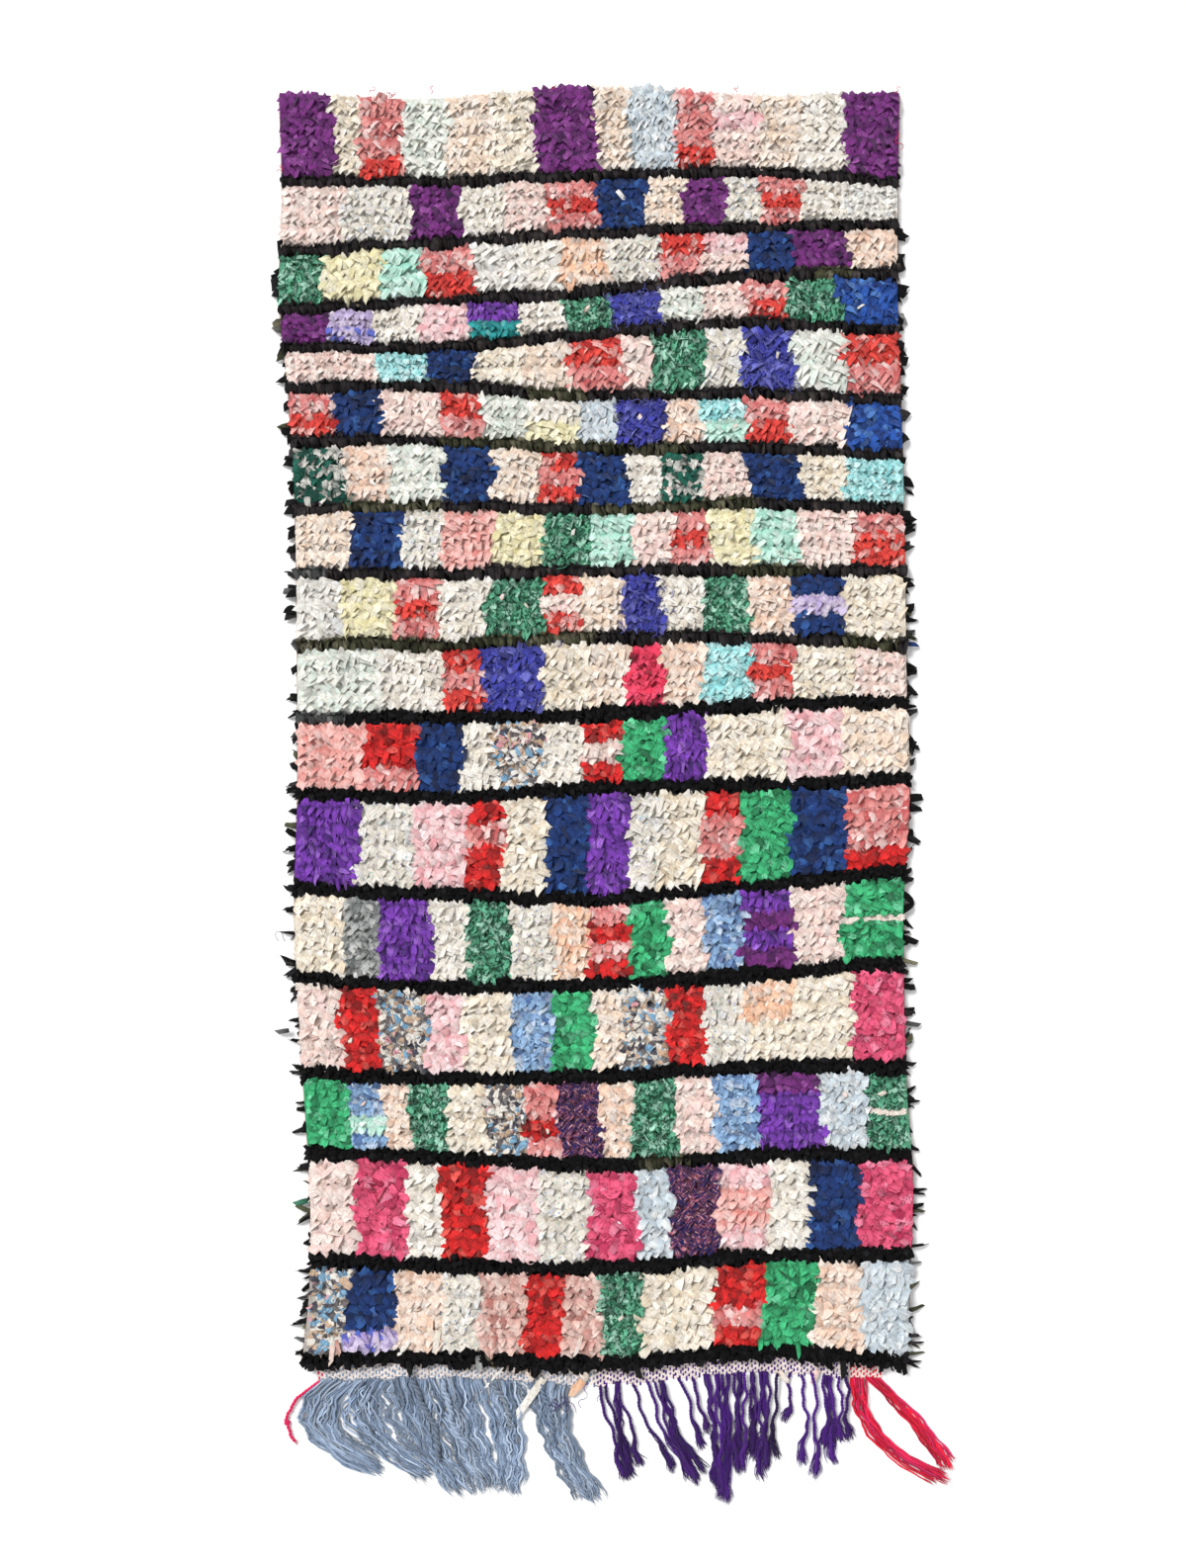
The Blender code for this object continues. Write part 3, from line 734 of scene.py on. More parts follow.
def knot_stretch(ends, top, low, rag, start, end, lean, size, spill, dice):
    """Ties one stretch of a row between two lines, tier by tier, both ends of a knot leaning apart.

    The spill is how far ends may reach past the two lines, as shares of the row's height.
    """
    cut = CUTS[rag.cut]
    middle = (start + end) / 2
    room = across_rug(top(middle), end) - across_rug(top(middle), start)
    count = max(2, round(room / (cut.pitch * size)))
    for tier in TIERS[cut.tiers]:
        for k in range(count):
            share = (k + dice.uniform(*KNOT_JITTER)) / count
            across = blend(start, end, share)
            drop = top(across)
            height = low(across) - drop
            apart = cut.apart if k % 2 else -cut.apart
            yaw = (lean + cut.fan * (2 * share - 1)) * tier.down + apart + dice.gauss(0, cut.scatter)
            turn = math.radians(yaw if tier.down > 0 else 180 - yaw)
            root = tier.root + dice.uniform(-ROOT_SPREAD, ROOT_SPREAD)
            spilt = dice.uniform(*SPILL_VARIES)
            most = 1 + spill[1] * spilt - root if tier.down > 0 else root + spill[0] * spilt
            length = height * min(tier.reach * dice.uniform(*REACH_VARIES), most)
            raised = dice.gauss(0, HEIGHT_SPREAD)
            surface, fold = dye_and_shade_end(rag, dice)
            ends.append(End(
                across_rug(drop, across) - math.sin(turn) * length / 2,
                TOP_EDGE - drop - height * root,
                turn,
                length,
                cut.width * size * dice.uniform(*WIDTH_VARIES),
                math.radians(math.copysign(cut.roll, yaw * tier.down) + dice.gauss(0, cut.tilt)),
                math.radians(dice.gauss(0, TWIST_SPREAD)),
                tier.knot,
                tier.crown + raised,
                tier.tip + raised,
                dice.gauss(1.0, SHADE_SPREAD),
                surface,
                fold,
                (rag.cut, dice.randrange(CUT_VARIANTS)),
            ))


def spill_of(number, row, across):
    """How far the ends of a row may reach over the row above it and over the row below."""
    slits = [slit for slit in SLITS if slit.band == number and slit.start <= across <= slit.end]
    above = ROW_SPILL if row else BAND_SPILL
    below = ROW_SPILL if row < CHART[number].rows - 1 else BAND_SPILL
    if any(slit.row == row for slit in slits):
        above = -SLIT_HALF
    if any(slit.row == row + 1 for slit in slits):
        below = -SLIT_HALF
    return above, below


def knot_rags():
    """Ties every row of every band, and sorts the ends by the kind of cloth that they are of."""
    dice = random.Random(11)
    sorted_ends = {}
    for number, band in enumerate(CHART):
        blocks = blocks_of(band)
        for row in range(band.rows):
            wander = [dice.uniform(-BLOCK_WANDER, BLOCK_WANDER) for _ in blocks[1:]]
            edges = [block.start + step for block, step in zip(blocks[1:], wander)]
            edges = [PILE_INSET] + edges + [1 - PILE_INSET]
            for block, start, end in zip(blocks, edges, edges[1:]):
                rag = RAGS[block.rags[row % len(block.rags)]]
                ends = sorted_ends.setdefault(rag.cloth, {}).setdefault(number, [])
                top = partial(row_drop, number, row / band.rows)
                low = partial(row_drop, number, (row + 1) / band.rows)
                middle = (start + end) / 2
                lean = blend(band.lean_left, band.lean_right, middle) + dice.gauss(0, LEAN_SPREAD)
                spill = spill_of(number, row, middle)
                knot_stretch(ends, top, low, rag, start, end, lean, band.size, spill, dice)
    return sorted_ends


def plain(finish, strip, dyed):
    return dyed


def leaf_print(finish, strip, dyed):
    """Dark leaves on a lighter ground."""
    leaf = finish.mottle(finish.stretched(strip, LEAF_SCALE), 1.0, 1.0)
    dark = finish.tint(1.0, dyed, dye(78, 130, 112), "MULTIPLY")
    return finish.tint(finish.limit(leaf, 0.52, 0.56), dyed, dark)


def dot_print(finish, strip, dyed):
    """Small scattered dots of blue, lilac and mint on ivory."""
    cells = {"Vector": strip, "Scale": DOT_SCALE}
    away = finish.node("ShaderNodeTexVoronoi", {"voronoi_dimensions": "2D"}, cells)
    pick, hue, _ = finish.parts(Wire(finish, away.socket.node.outputs["Color"]))
    stops = ((0.0, dye(132, 166, 212)), (0.4, dye(182, 166, 214)), (0.7, dye(150, 206, 192)))
    colour = finish.node("ShaderNodeValToRGB", {"stops": stops, "interpolation": "CONSTANT"}, (hue,))
    dot = finish.limit(0.22 - away, 0.0, 0.08) * finish.limit(0.30 - pick, 0.0, 0.01)
    return finish.tint(dot, dyed, colour)


def patch_print(finish, strip, dyed):
    """Blue, tan, grey, pink and white shapes packed edge to edge."""
    scale, step = PATCH_WANDER
    moved = finish.mottle(strip, scale), (step, step, 0.0), strip
    wander = finish.node("ShaderNodeVectorMath", {"operation": "MULTIPLY_ADD"}, moved)
    cells = {"Vector": wander, "Scale": PATCH_SCALE}
    away = finish.node("ShaderNodeTexVoronoi", {"voronoi_dimensions": "2D"}, cells)
    hue, _, _ = finish.parts(Wire(finish, away.socket.node.outputs["Color"]))
    stops = (
        (0.0, dye(236, 232, 222)),
        (0.22, dye(120, 172, 208)),
        (0.42, dye(206, 176, 148)),
        (0.60, dye(104, 100, 102)),
        (0.74, dye(226, 160, 168)),
        (0.80, dye(240, 238, 232)),
        (0.92, dye(52, 56, 76)),
    )
    colour = finish.node("ShaderNodeValToRGB", {"stops": stops, "interpolation": "CONSTANT"}, (hue,))
    return finish.tint(0.9, dyed, colour)


def tweed_weave(finish, strip, dyed):
    """Navy and maroon yarns with thin pale ones."""
    ribs = finish.mottle(finish.stretched(strip, RIB_SCALE), 1.0, 1.0)
    pale = finish.tint(finish.limit(ribs, 0.63, 0.66), dyed, dye(214, 168, 178))
    return finish.tint(finish.limit(ribs, 0.52, 0.49), pale, dye(38, 40, 94))


def rag_finish(name, roughness, sheen, crease_shade, pattern=plain):
    """Worn cloth: the colour of its points, faded in patches, with folds and wrinkles along it and a fine
    knit. The wrinkles and the thin fold lines are darkened as painted shade, besides their relief.
    """
    finish = Finish(name, Sheen_Weight=sheen, Specular_IOR_Level=0.2)
    strip = finish.strip()
    creases = finish.mottle(finish.stretched(strip, CREASE_SCALE), 1.0, 3.0)
    knit = finish.mottle(finish.stretched(strip, KNIT_SCALE), 1.0, 1.0)
    wear = finish.mottle(finish.place(), WEAR_SCALE, 3.0)
    # Painted shade in the wrinkles, mixed with the real fading of worn patches, and along the thin fold
    # lines.
    shade = finish.limit(creases * 0.6 + wear * 0.4, 0.25, 0.7)
    folds = abs(finish.mottle(finish.stretched(strip, FOLD_SCALE), 1.0, 1.0) - 0.5)
    clear_of_fold_shade = finish.limit(folds, 0.0, FOLD_WIDTH)
    worn = finish.tint(shade, dye(206, 200, 198), dye(255, 255, 255))
    worn = finish.tint(clear_of_fold_shade, crease_shade, worn)
    printed = pattern(finish, strip, finish.attribute("dyed"))
    colour = finish.tint(1.0, printed, worn, "MULTIPLY")
    relief = creases + clear_of_fold_shade * 0.2 + knit * 0.12
    return finish.done(colour, wear * 0.2 + roughness, relief, RAG_RELIEF)


sorted_ends = knot_rags()
finishes = {
    "jersey": rag_finish("worn_jersey", 0.72, 0.10, PALE_CREASE_SHADE),
    "cotton": rag_finish("dyed_cotton", 0.55, 0.15, DEEP_CREASE_SHADE),
    "frayed": rag_finish("frayed_cobalt", 0.65, 0.2, DEEP_CREASE_SHADE),
    "mottled": rag_finish("mottled_cotton", 0.6, 0.1, DEEP_CREASE_SHADE, leaf_print),
    "speckled": rag_finish("speckled_cotton", 0.7, 0.1, PALE_CREASE_SHADE, dot_print),
    "printed": rag_finish("printed_cotton", 0.6, 0.1, DEEP_CREASE_SHADE, patch_print),
    "tweed": rag_finish("tweed_wool", 0.8, 0.1, DEEP_CREASE_SHADE, tweed_weave),
}

# The jersey and cotton rags are the most, so each of their pieces takes only some of the bands.
PIECE_BANDS = {"jersey": (0, 5, 10, 14, 17), "cotton": (0, 9, 13, 17)}
for cloth, by_band in sorted_ends.items():
    breaks = PIECE_BANDS.get(cloth, (0, len(CHART)))
    for first, last in zip(breaks, breaks[1:]):
        ends = [end for number in range(first, last) for end in by_band.get(number, [])]
        if ends:
            name = f"{cloth}_rags_{first + 1}_{last}"
            join_ends(name, ends, "rag_pile", finishes[cloth])
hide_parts("rug_pile")

# The knots
# Between the rows the tied middles of the rags close the pile over the ground cloth. They are the same rags,
# drawn tight round the warp, painted toward their fold shade and dimmed as painted shade for lying deep.
KNOT_COLUMNS = 150
KNOT_RIDGE = 0.0176
KNOT_GROOVE = 0.0148
BLACK_GROOVE = 0.0060
KNOT_BUMP = 0.0012
KNOT_BUMPS = 160
KNOT_SHADE = 0.9
KNOT_FOLD_SHADE = 0.3

# A row of knots is level from one share of its height to another, and sinks to a groove at its end.
KNOT_PROFILE = ((0.4, KNOT_RIDGE), (0.7, KNOT_RIDGE), (1.0, KNOT_GROOVE))


def knot_levels():
    """The levels of the knots, from the top down: where each lies, its height, its band and its row."""
    levels = [(partial(row_drop, 0, 0.0), KNOT_GROOVE, 0, 0)]
    for number, band in enumerate(CHART):
        for row in range(band.rows):
            for share, height in KNOT_PROFILE:
                drop_at = partial(row_drop, number, (row + share) / band.rows)
                levels.append((drop_at, height, number, row))
        levels.append((partial(line_drop, BLACK_LINES[number]), BLACK_GROOVE, number, None))
        levels.append((partial(black_drop, number, 0.5), BLACK_GROOVE, number, None))
    return levels


def rag_at(number, row, across):
    if row is None:
        return RAGS["black"]
    for block in blocks_of(CHART[number]):
        if across <= block.end + 1e-6:
            return RAGS[block.rags[row % len(block.rags)]]


def tie_knots():
    levels = knot_levels()
    last = len(levels) - 1
    bm = bmesh.new()
    bmesh.ops.create_grid(bm, x_segments=KNOT_COLUMNS, y_segments=last, size=0.5)
    bm.verts.index_update()
    colours = [None] * len(bm.verts)
    for vert in bm.verts:
        across = vert.co.x + 0.5
        drop_at, height, number, row = levels[round((0.5 - vert.co.y) * last)]
        drop = drop_at(across)
        rag = rag_at(number, row, across)
        # Painted shade: each knot is its rag's colour, painted toward the fold shade and dimmed.
        colours[vert.index] = blend(light_of(rag.colour), light_of(rag.deep), KNOT_FOLD_SHADE) * KNOT_SHADE
        bump = noise.noise(Vector((across * KNOT_BUMPS, drop * KNOT_BUMPS, 0))) * KNOT_BUMP
        vert.co = (across_rug(drop, across), TOP_EDGE - drop, height + bump)
    mesh = mesh_of(bm, "knots")
    points = np.array([vert.co[:2] for vert in mesh.vertices])
    colour_verts(mesh, np.array(colours), points)
    return add_piece("knots", mesh, finishes["jersey"], "rag_pile")


knots = tie_knots()

# The slits and the backs of the knots
# Plain weft shows as pale floats where two rows part, and underneath every knot shows its back: a bar
# of its rag lying across the warp.
WEFT_COLOUR = (255, 242, 232)
PAD_COLUMNS = 3
PAD_RISE = 0.0016
SLIT_FLOATS = 2
SLIT_FLOAT = (0.0064, 0.0036)
SLIT_LEVEL = 0.0164
SLIT_SHADES = (0.8, 1.0)
FLOAT_OVERLAP = 0.6
BACK_PITCH = 0.0080
BACK_SIZE = (0.0072, 0.0052)
BACK_LEVEL = 0.0019
BACK_RISE = -0.0012
BACK_COLUMNS = 2
BACK_JITTER = 0.1
BACK_DEPTH = 0.6


def pad(columns):
    """One float of yarn before it is placed: a low dome, one across and one deep."""
    bm = bmesh.new()
    bmesh.ops.create_grid(bm, x_segments=columns, y_segments=columns, size=0.5)
    for vert in bm.verts:
        vert.co.z = math.cos(vert.co.x * math.pi) * math.cos(vert.co.y * math.pi)
    return arrays_of(bm)


def lay_pads(places, sizes, colours, base, rise, columns=PAD_COLUMNS):
    """Copies of the float at its places: their points, faces, colours and strips."""
    shape, quads = pad(columns)
    points = shape[None] * np.concatenate((sizes, np.full((len(sizes), 1), rise)), axis=1)[:, None]
    points[..., :2] += places[:, None]
    points[..., 2] += base
    if rise < 0:
        quads = quads[:, ::-1]
    faces = quads[None] + (np.arange(len(places)) * len(shape))[:, None, None]
    dyed = np.repeat(colours[:, None], len(shape), axis=1)
    return points.reshape(-1, 3), faces.reshape(-1, 4), dyed.reshape(-1, 3), points[..., :2].reshape(-1, 2)


def weave_slits():
    dice = random.Random(5)
    places, colours = [], []
    for slit in SLITS:
        drop = row_drop(slit.band, slit.row / CHART[slit.band].rows, (slit.start + slit.end) / 2)
        left = across_rug(drop, slit.start)
        right = across_rug(drop, slit.end)
        for line in range(-SLIT_FLOATS, SLIT_FLOATS + 1):
            for k in range(round((right - left) / SLIT_FLOAT[0])):
                x = left + (k + 0.5 * (line % 2)) * SLIT_FLOAT[0]
                across = (x - left) / (right - left) * (slit.end - slit.start) + slit.start
                level = TOP_EDGE - row_drop(slit.band, slit.row / CHART[slit.band].rows, across)
                places.append((x, level - line * SLIT_FLOAT[1] * FLOAT_OVERLAP))
                colours.append(light_of(WEFT_COLOUR) * dice.uniform(*SLIT_SHADES))
    sizes = np.tile(SLIT_FLOAT, (len(places), 1))
    return lay_pads(np.array(places), sizes, np.array(colours), SLIT_LEVEL, PAD_RISE)


def lay_backs():
    dice = random.Random(6)
    places, colours = [], []
    rows = [(number, row) for number, band in enumerate(CHART) for row in range(band.rows)]
    rows += [(number, None) for number in range(len(CHART))]
    for number, row in rows:
        if row is None:
            middle = partial(line_drop, BLACK_LINES[number])
        else:
            middle = partial(row_drop, number, (row + 0.5) / CHART[number].rows)
        count = round(CLOTH_FLAT[0] / BACK_PITCH)
        for k in range(count):
            across = (k + 0.5) / count
            drop = middle(across)
            jitter = dice.gauss(0, BACK_SIZE[1] * BACK_JITTER)
            places.append((across_rug(drop, across), TOP_EDGE - drop + jitter))
            rag = rag_at(number, row, across)
            colours.append(blend(light_of(rag.colour), light_of(rag.deep), dice.random() * BACK_DEPTH))
    sizes = np.tile(BACK_SIZE, (len(places), 1))
    return lay_pads(np.array(places), sizes, np.array(colours), BACK_LEVEL, BACK_RISE, BACK_COLUMNS)


def tubes(lines, radii, colours, sides=5):
    """Round yarns of few sides along lines of points: their points, faces, colours and strips."""
    ahead = np.gradient(lines, axis=1)
    ahead /= np.linalg.norm(ahead, axis=2, keepdims=True)
    side = np.cross(ahead, (0.0, 0.0, 1.0))
    side /= np.linalg.norm(side, axis=2, keepdims=True) + 1e-9
    over = np.cross(side, ahead)
    turn = np.linspace(0, 2 * math.pi, sides, endpoint=False)[:, None]
    spokes = np.cos(turn) * side[:, :, None] + np.sin(turn) * over[:, :, None]
    points = lines[:, :, None] + radii[:, :, None, None] * spokes
    count, sections = lines.shape[:2]
    ring = np.arange(sides)
    after = (ring + 1) % sides
    one = np.stack((ring, after, after + sides, ring + sides), axis=-1)
    along = one[None] + (np.arange(sections - 1) * sides)[:, None, None]
    faces = along.reshape(1, -1, 4) + (np.arange(count) * sections * sides)[:, None, None]
    dyed = np.repeat(np.repeat(colours[:, None], sections, axis=1)[:, :, None], sides, axis=2)
    length = np.linspace(0, 1, sections) * np.linalg.norm(lines[:, -1] - lines[:, 0], axis=1)[:, None]
    strip = np.stack(np.broadcast_arrays(turn[:, 0] * radii[:, :, None], length[:, :, None]), axis=-1)
    return points.reshape(-1, 3), faces.reshape(-1, 4), dyed.reshape(-1, 3), strip.reshape(-1, 2)


def join_parts(name, parts):
    """One mesh of several lots of floats or tubes."""
    starts = np.cumsum([0] + [len(part[0]) for part in parts[:-1]])
    points = np.concatenate([part[0] for part in parts])
    faces = np.concatenate([part[1] + start for part, start in zip(parts, starts)])
    mesh = quad_mesh(name, points, faces)
    colours = np.concatenate([part[2] for part in parts])
    colour_verts(mesh, colours, np.concatenate([part[3] for part in parts]))
    return mesh


def add_parts(name, parts, finish):
    return add_piece(name, join_parts(name, parts), finish, "rag_pile")


slit_weft = add_parts("slit_weft", [weave_slits()], finishes["jersey"])
knot_backs = add_parts("knot_backs", [lay_backs()], finishes["jersey"])

# The frayed threads
# The loosely woven cobalt cloth has unravelled into a tangle of curly threads over its knots, and a few
# longer threads have worked loose at the edges, red ones along the top.
THREADS_EACH = 70
THREAD_LENGTH = (0.012, 0.040)
THREAD_RADIUS = 0.0007
THREAD_CURL = 2.2
THREAD_SWING = (0.4, 1.0)
THREAD_TURNS = (0.6, 1.6)
THREADS_WITHIN = (0.02, 0.98)
THREAD_SECTIONS = 11
THREAD_LEVEL = 0.0215
THREAD_SIDES = 3
COBALT_SHADES = ((52, 54, 160), (124, 130, 224))

# Loose threads, in centimetres and degrees: where each starts, by place across the rug and distance
# below the top edge, the way it points (0 is right and 90 up), its length, its dye and its level
Loose = namedtuple("Loose", "x drop bearing length dye level", defaults=(2.1,))
THREAD_DYES = {
    "black": (30, 28, 32),
    "red": (222, 30, 70),
    "dark_red": (206, 20, 50),
    "purple": (72, 24, 124),
    "deep_purple": (60, 20, 108),
    "cobalt": (76, 80, 190),
    "sea": (40, 140, 120),
    "mint": (90, 190, 160),
}
LOOSE_THREADS = rows(
    Loose,
    (-53.0, 139.0, 200, 4.0, "black"),
    (48.6, 109.0, -20, 3.6, "black"),
    (-53.4, 12.6, 240, 3.0, "red"),
    (46.8, 7.0, -70, 4.5, "red"),
    (-39.0, 0.6, 60, 2.0, "red"),
    (-36.4, 0.8, 20, 2.6, "dark_red"),
    (-35.0, 1.0, 110, 2.0, "red"),
    (-29.2, 0.8, 80, 1.8, "red"),
    (-9.0, 0.0, 95, 1.6, "dark_red"),
    (20.6, 0.6, 70, 2.0, "red"),
    (46.4, 0.4, 30, 2.2, "red"),
    (-42.0, 66.0, 330, 5.0, "sea"),
    (-9.0, 78.4, 80, 4.0, "mint"),
    (5.0, 57.0, 300, 4.5, "cobalt"),
    (-10.0, 90.6, 40, 4.0, "cobalt"),
    (-9.8, 215.4, 62, 5.0, "purple", 1.3),
    (-9.4, 215.8, 340, 5.6, "purple", 1.3),
    (-9.0, 215.2, 20, 4.6, "deep_purple", 1.3),
    (-8.0, 213.6, 300, 4.0, "purple", 1.3),
    (-3.4, 211.4, 250, 5.6, "purple", 1.2),
    (-2.6, 211.2, 280, 5.0, "deep_purple", 1.2),
)


def curl_line(x, y, bearing, length, level, dice):
    """The line of one loose thread, which turns one way and then the other as it goes."""
    swing = dice.uniform(*THREAD_SWING) * THREAD_CURL
    turns = dice.uniform(*THREAD_TURNS)
    phase = dice.uniform(0, 2 * math.pi)
    step = length / (THREAD_SECTIONS - 1)
    line = []
    for n in range(THREAD_SECTIONS):
        t = n / (THREAD_SECTIONS - 1)
        lift = math.sin(t * math.pi * 2 + phase) * THREAD_RADIUS * 3
        line.append((x, y, level + lift))
        turn = bearing + swing * math.sin(turns * 2 * math.pi * t + phase)
        x += step * math.cos(turn)
        y += step * math.sin(turn)
    return line


def fray_threads():
    dice = random.Random(41)
    lines, shades = [], []
    low, high = (light_of(seen) for seen in COBALT_SHADES)
    for number, band in enumerate(CHART):
        for block in blocks_of(band):
            if "cobalt" not in block.rags:
                continue
            for _ in range(THREADS_EACH):
                across = blend(block.start, block.end, dice.random())
                drop = row_drop(number, dice.uniform(*THREADS_WITHIN), across)
                start = (across_rug(drop, across), TOP_EDGE - drop)
                bearing = dice.uniform(0, 2 * math.pi)
                lines.append(curl_line(*start, bearing, dice.uniform(*THREAD_LENGTH), THREAD_LEVEL, dice))
                shades.append(blend(low, high, dice.random()))
    for loose in LOOSE_THREADS:
        start = (loose.x * CM, TOP_EDGE - loose.drop * CM)
        bearing = math.radians(loose.bearing)
        lines.append(curl_line(*start, bearing, loose.length * CM, loose.level * CM, dice))
        shades.append(light_of(THREAD_DYES[loose.dye]))
    radii = np.full((len(lines), THREAD_SECTIONS), THREAD_RADIUS)
    return [tubes(np.array(lines), radii, np.array(shades), THREAD_SIDES)]


threads = add_parts("loose_threads", fray_threads(), finishes["frayed"])

# The black rows
# One row of black rags parts each band from the next. Some stretches ran out and were tied in olive
# or grey, given by line, and by where they start and end across the rug.
Stretch = namedtuple("Stretch", "line start end rag")
OTHER_STRETCHES = rows(
    Stretch,
    (2, 0.87, 0.93, "olive"),
    (4, 0.39, 0.49, "olive"),
    (5, 0.24, 0.65, "olive"),
    (6, 0.08, 0.24, "olive"),
    (6, 0.49, 0.76, "olive"),
    (7, 0.00, 0.05, "ash"),
    (7, 0.72, 0.85, "olive"),
    (8, 0.00, 0.49, "olive"),
    (8, 0.90, 0.99, "olive"),
    (9, 0.00, 0.08, "ash"),
    (14, 0.55, 0.63, "olive"),
)
INK_LINES = 9
BLACK_LEAN = 12
BLACK_SPILL = (0.14, 0.14)
HANGING_SPILL = (0.14, 0.36)


def black_stretches(line):
    """The stretches of one black row from left to right."""
    found, done = [], 0.0
    plain = "ink" if line < INK_LINES else "black"
    for other in (each for each in OTHER_STRETCHES if each.line == line):
        found += [(done, other.start, plain), (other.start, other.end, other.rag)]
        done = other.end
    found.append((done, 1.0, plain))
    return [each for each in found if each[1] > each[0]]


def knot_black_rows():
    dice = random.Random(23)
    ends = []
    for line in range(len(BLACK_LINES)):
        for start, end, name in black_stretches(line):
            top = partial(black_drop, line, -0.5)
            low = partial(black_drop, line, 0.5)
            spill = BLACK_SPILL if line < len(BLACK_LINES) - 1 else HANGING_SPILL
            knot_stretch(ends, top, low, RAGS[name], start, end, BLACK_LEAN, 1.0, spill, dice)
    return ends


finishes["black"] = rag_finish("black_rags", 0.8, 0.0, DEEP_CREASE_SHADE)
black_rows = join_ends("black_rows", knot_black_rows(), "rag_pile", finishes["black"])

# The selvedge tufts
# Rags of the black rows and of the outer knots stick out past the selvedges, rolled up by wear.
TUFT_PITCH = 0.040
PITCH_VARIES = (0.7, 1.3)
TUFTS_START = {"left": 0.26, "right": 0.235}
TUFTS_END = 2.08
TUFT_LENGTH = (0.016, 0.032)
TUFT_WIDTH = (0.007, 0.013)
TUFT_INSET = 0.010
UPPER_TUFT = (1.8, 0.85)
LOWER_TUFT = (1.0, 1.2)
TUFTS_EACH = (1, 5)
TUFT_CUTS = ("mat", "tab", "ripple")
TUFT_RAGS = {"black": 14, "ink": 4, "olive": 2, "ash": 1}
TUFT_BEARING = (75, 28)
TUFT_ROLL = 20
TUFT_LEVEL = 0.0080
TUFT_CROWN = 0.0150
TUFT_SPREAD = 0.008


def tuft_selvedges():
    dice = random.Random(31)
    ends = []
    for side, outward in (("left", -1), ("right", 1)):
        drop = TUFTS_START[side]
        while drop < TUFTS_END:
            worn = drop / TUFTS_END
            wide, long = (blend(upper, lower, worn) for upper, lower in zip(UPPER_TUFT, LOWER_TUFT))
            for _ in range(dice.randint(*TUFTS_EACH)):
                rag = RAGS[dice.choices(list(TUFT_RAGS), list(TUFT_RAGS.values()))[0]]
                surface, fold = dye_and_shade_end(rag, dice)
                place = drop + dice.uniform(-TUFT_SPREAD, TUFT_SPREAD)
                cut = "rolled" if dice.random() < worn else dice.choice(TUFT_CUTS)
                ends.append(End(
                    selvedge(place, side) - outward * TUFT_INSET,
                    TOP_EDGE - place,
                    math.radians(outward * dice.gauss(*TUFT_BEARING)),
                    dice.uniform(*TUFT_LENGTH) * long,
                    dice.uniform(*TUFT_WIDTH) * wide,
                    math.radians(dice.gauss(0, TUFT_ROLL)),
                    0.0,
                    TUFT_LEVEL,
                    TUFT_CROWN,
                    TUFT_LEVEL,
                    dice.gauss(1.0, SHADE_SPREAD),
                    surface,
                    fold,
                    (cut, dice.randrange(CUT_VARIANTS)),
                ))
            drop += TUFT_PITCH * dice.uniform(*PITCH_VARIES)
    return ends


selvedge_tufts = join_ends("selvedge_tufts", tuft_selvedges(), "rag_pile", finishes["black"])

# The scraps
# Odd strips of rag lie on the pile or hang over the last black row and the heading, and a few white
# bits are caught among the coloured ones.
SCRAP_CROWN = 0.0025
SCRAP_ROLL = 8
SCRAP_TWIST = 14
BITS = 46
BIT_SIZE = ((0.008, 0.016), (0.004, 0.008))
BIT_LEVEL = 0.0225
BITS_ACROSS = (0.03, 0.97)
BITS_DOWN = (0.15, 0.85)
BIT_RAGS = ("white", "ivory", "cream", "blush")

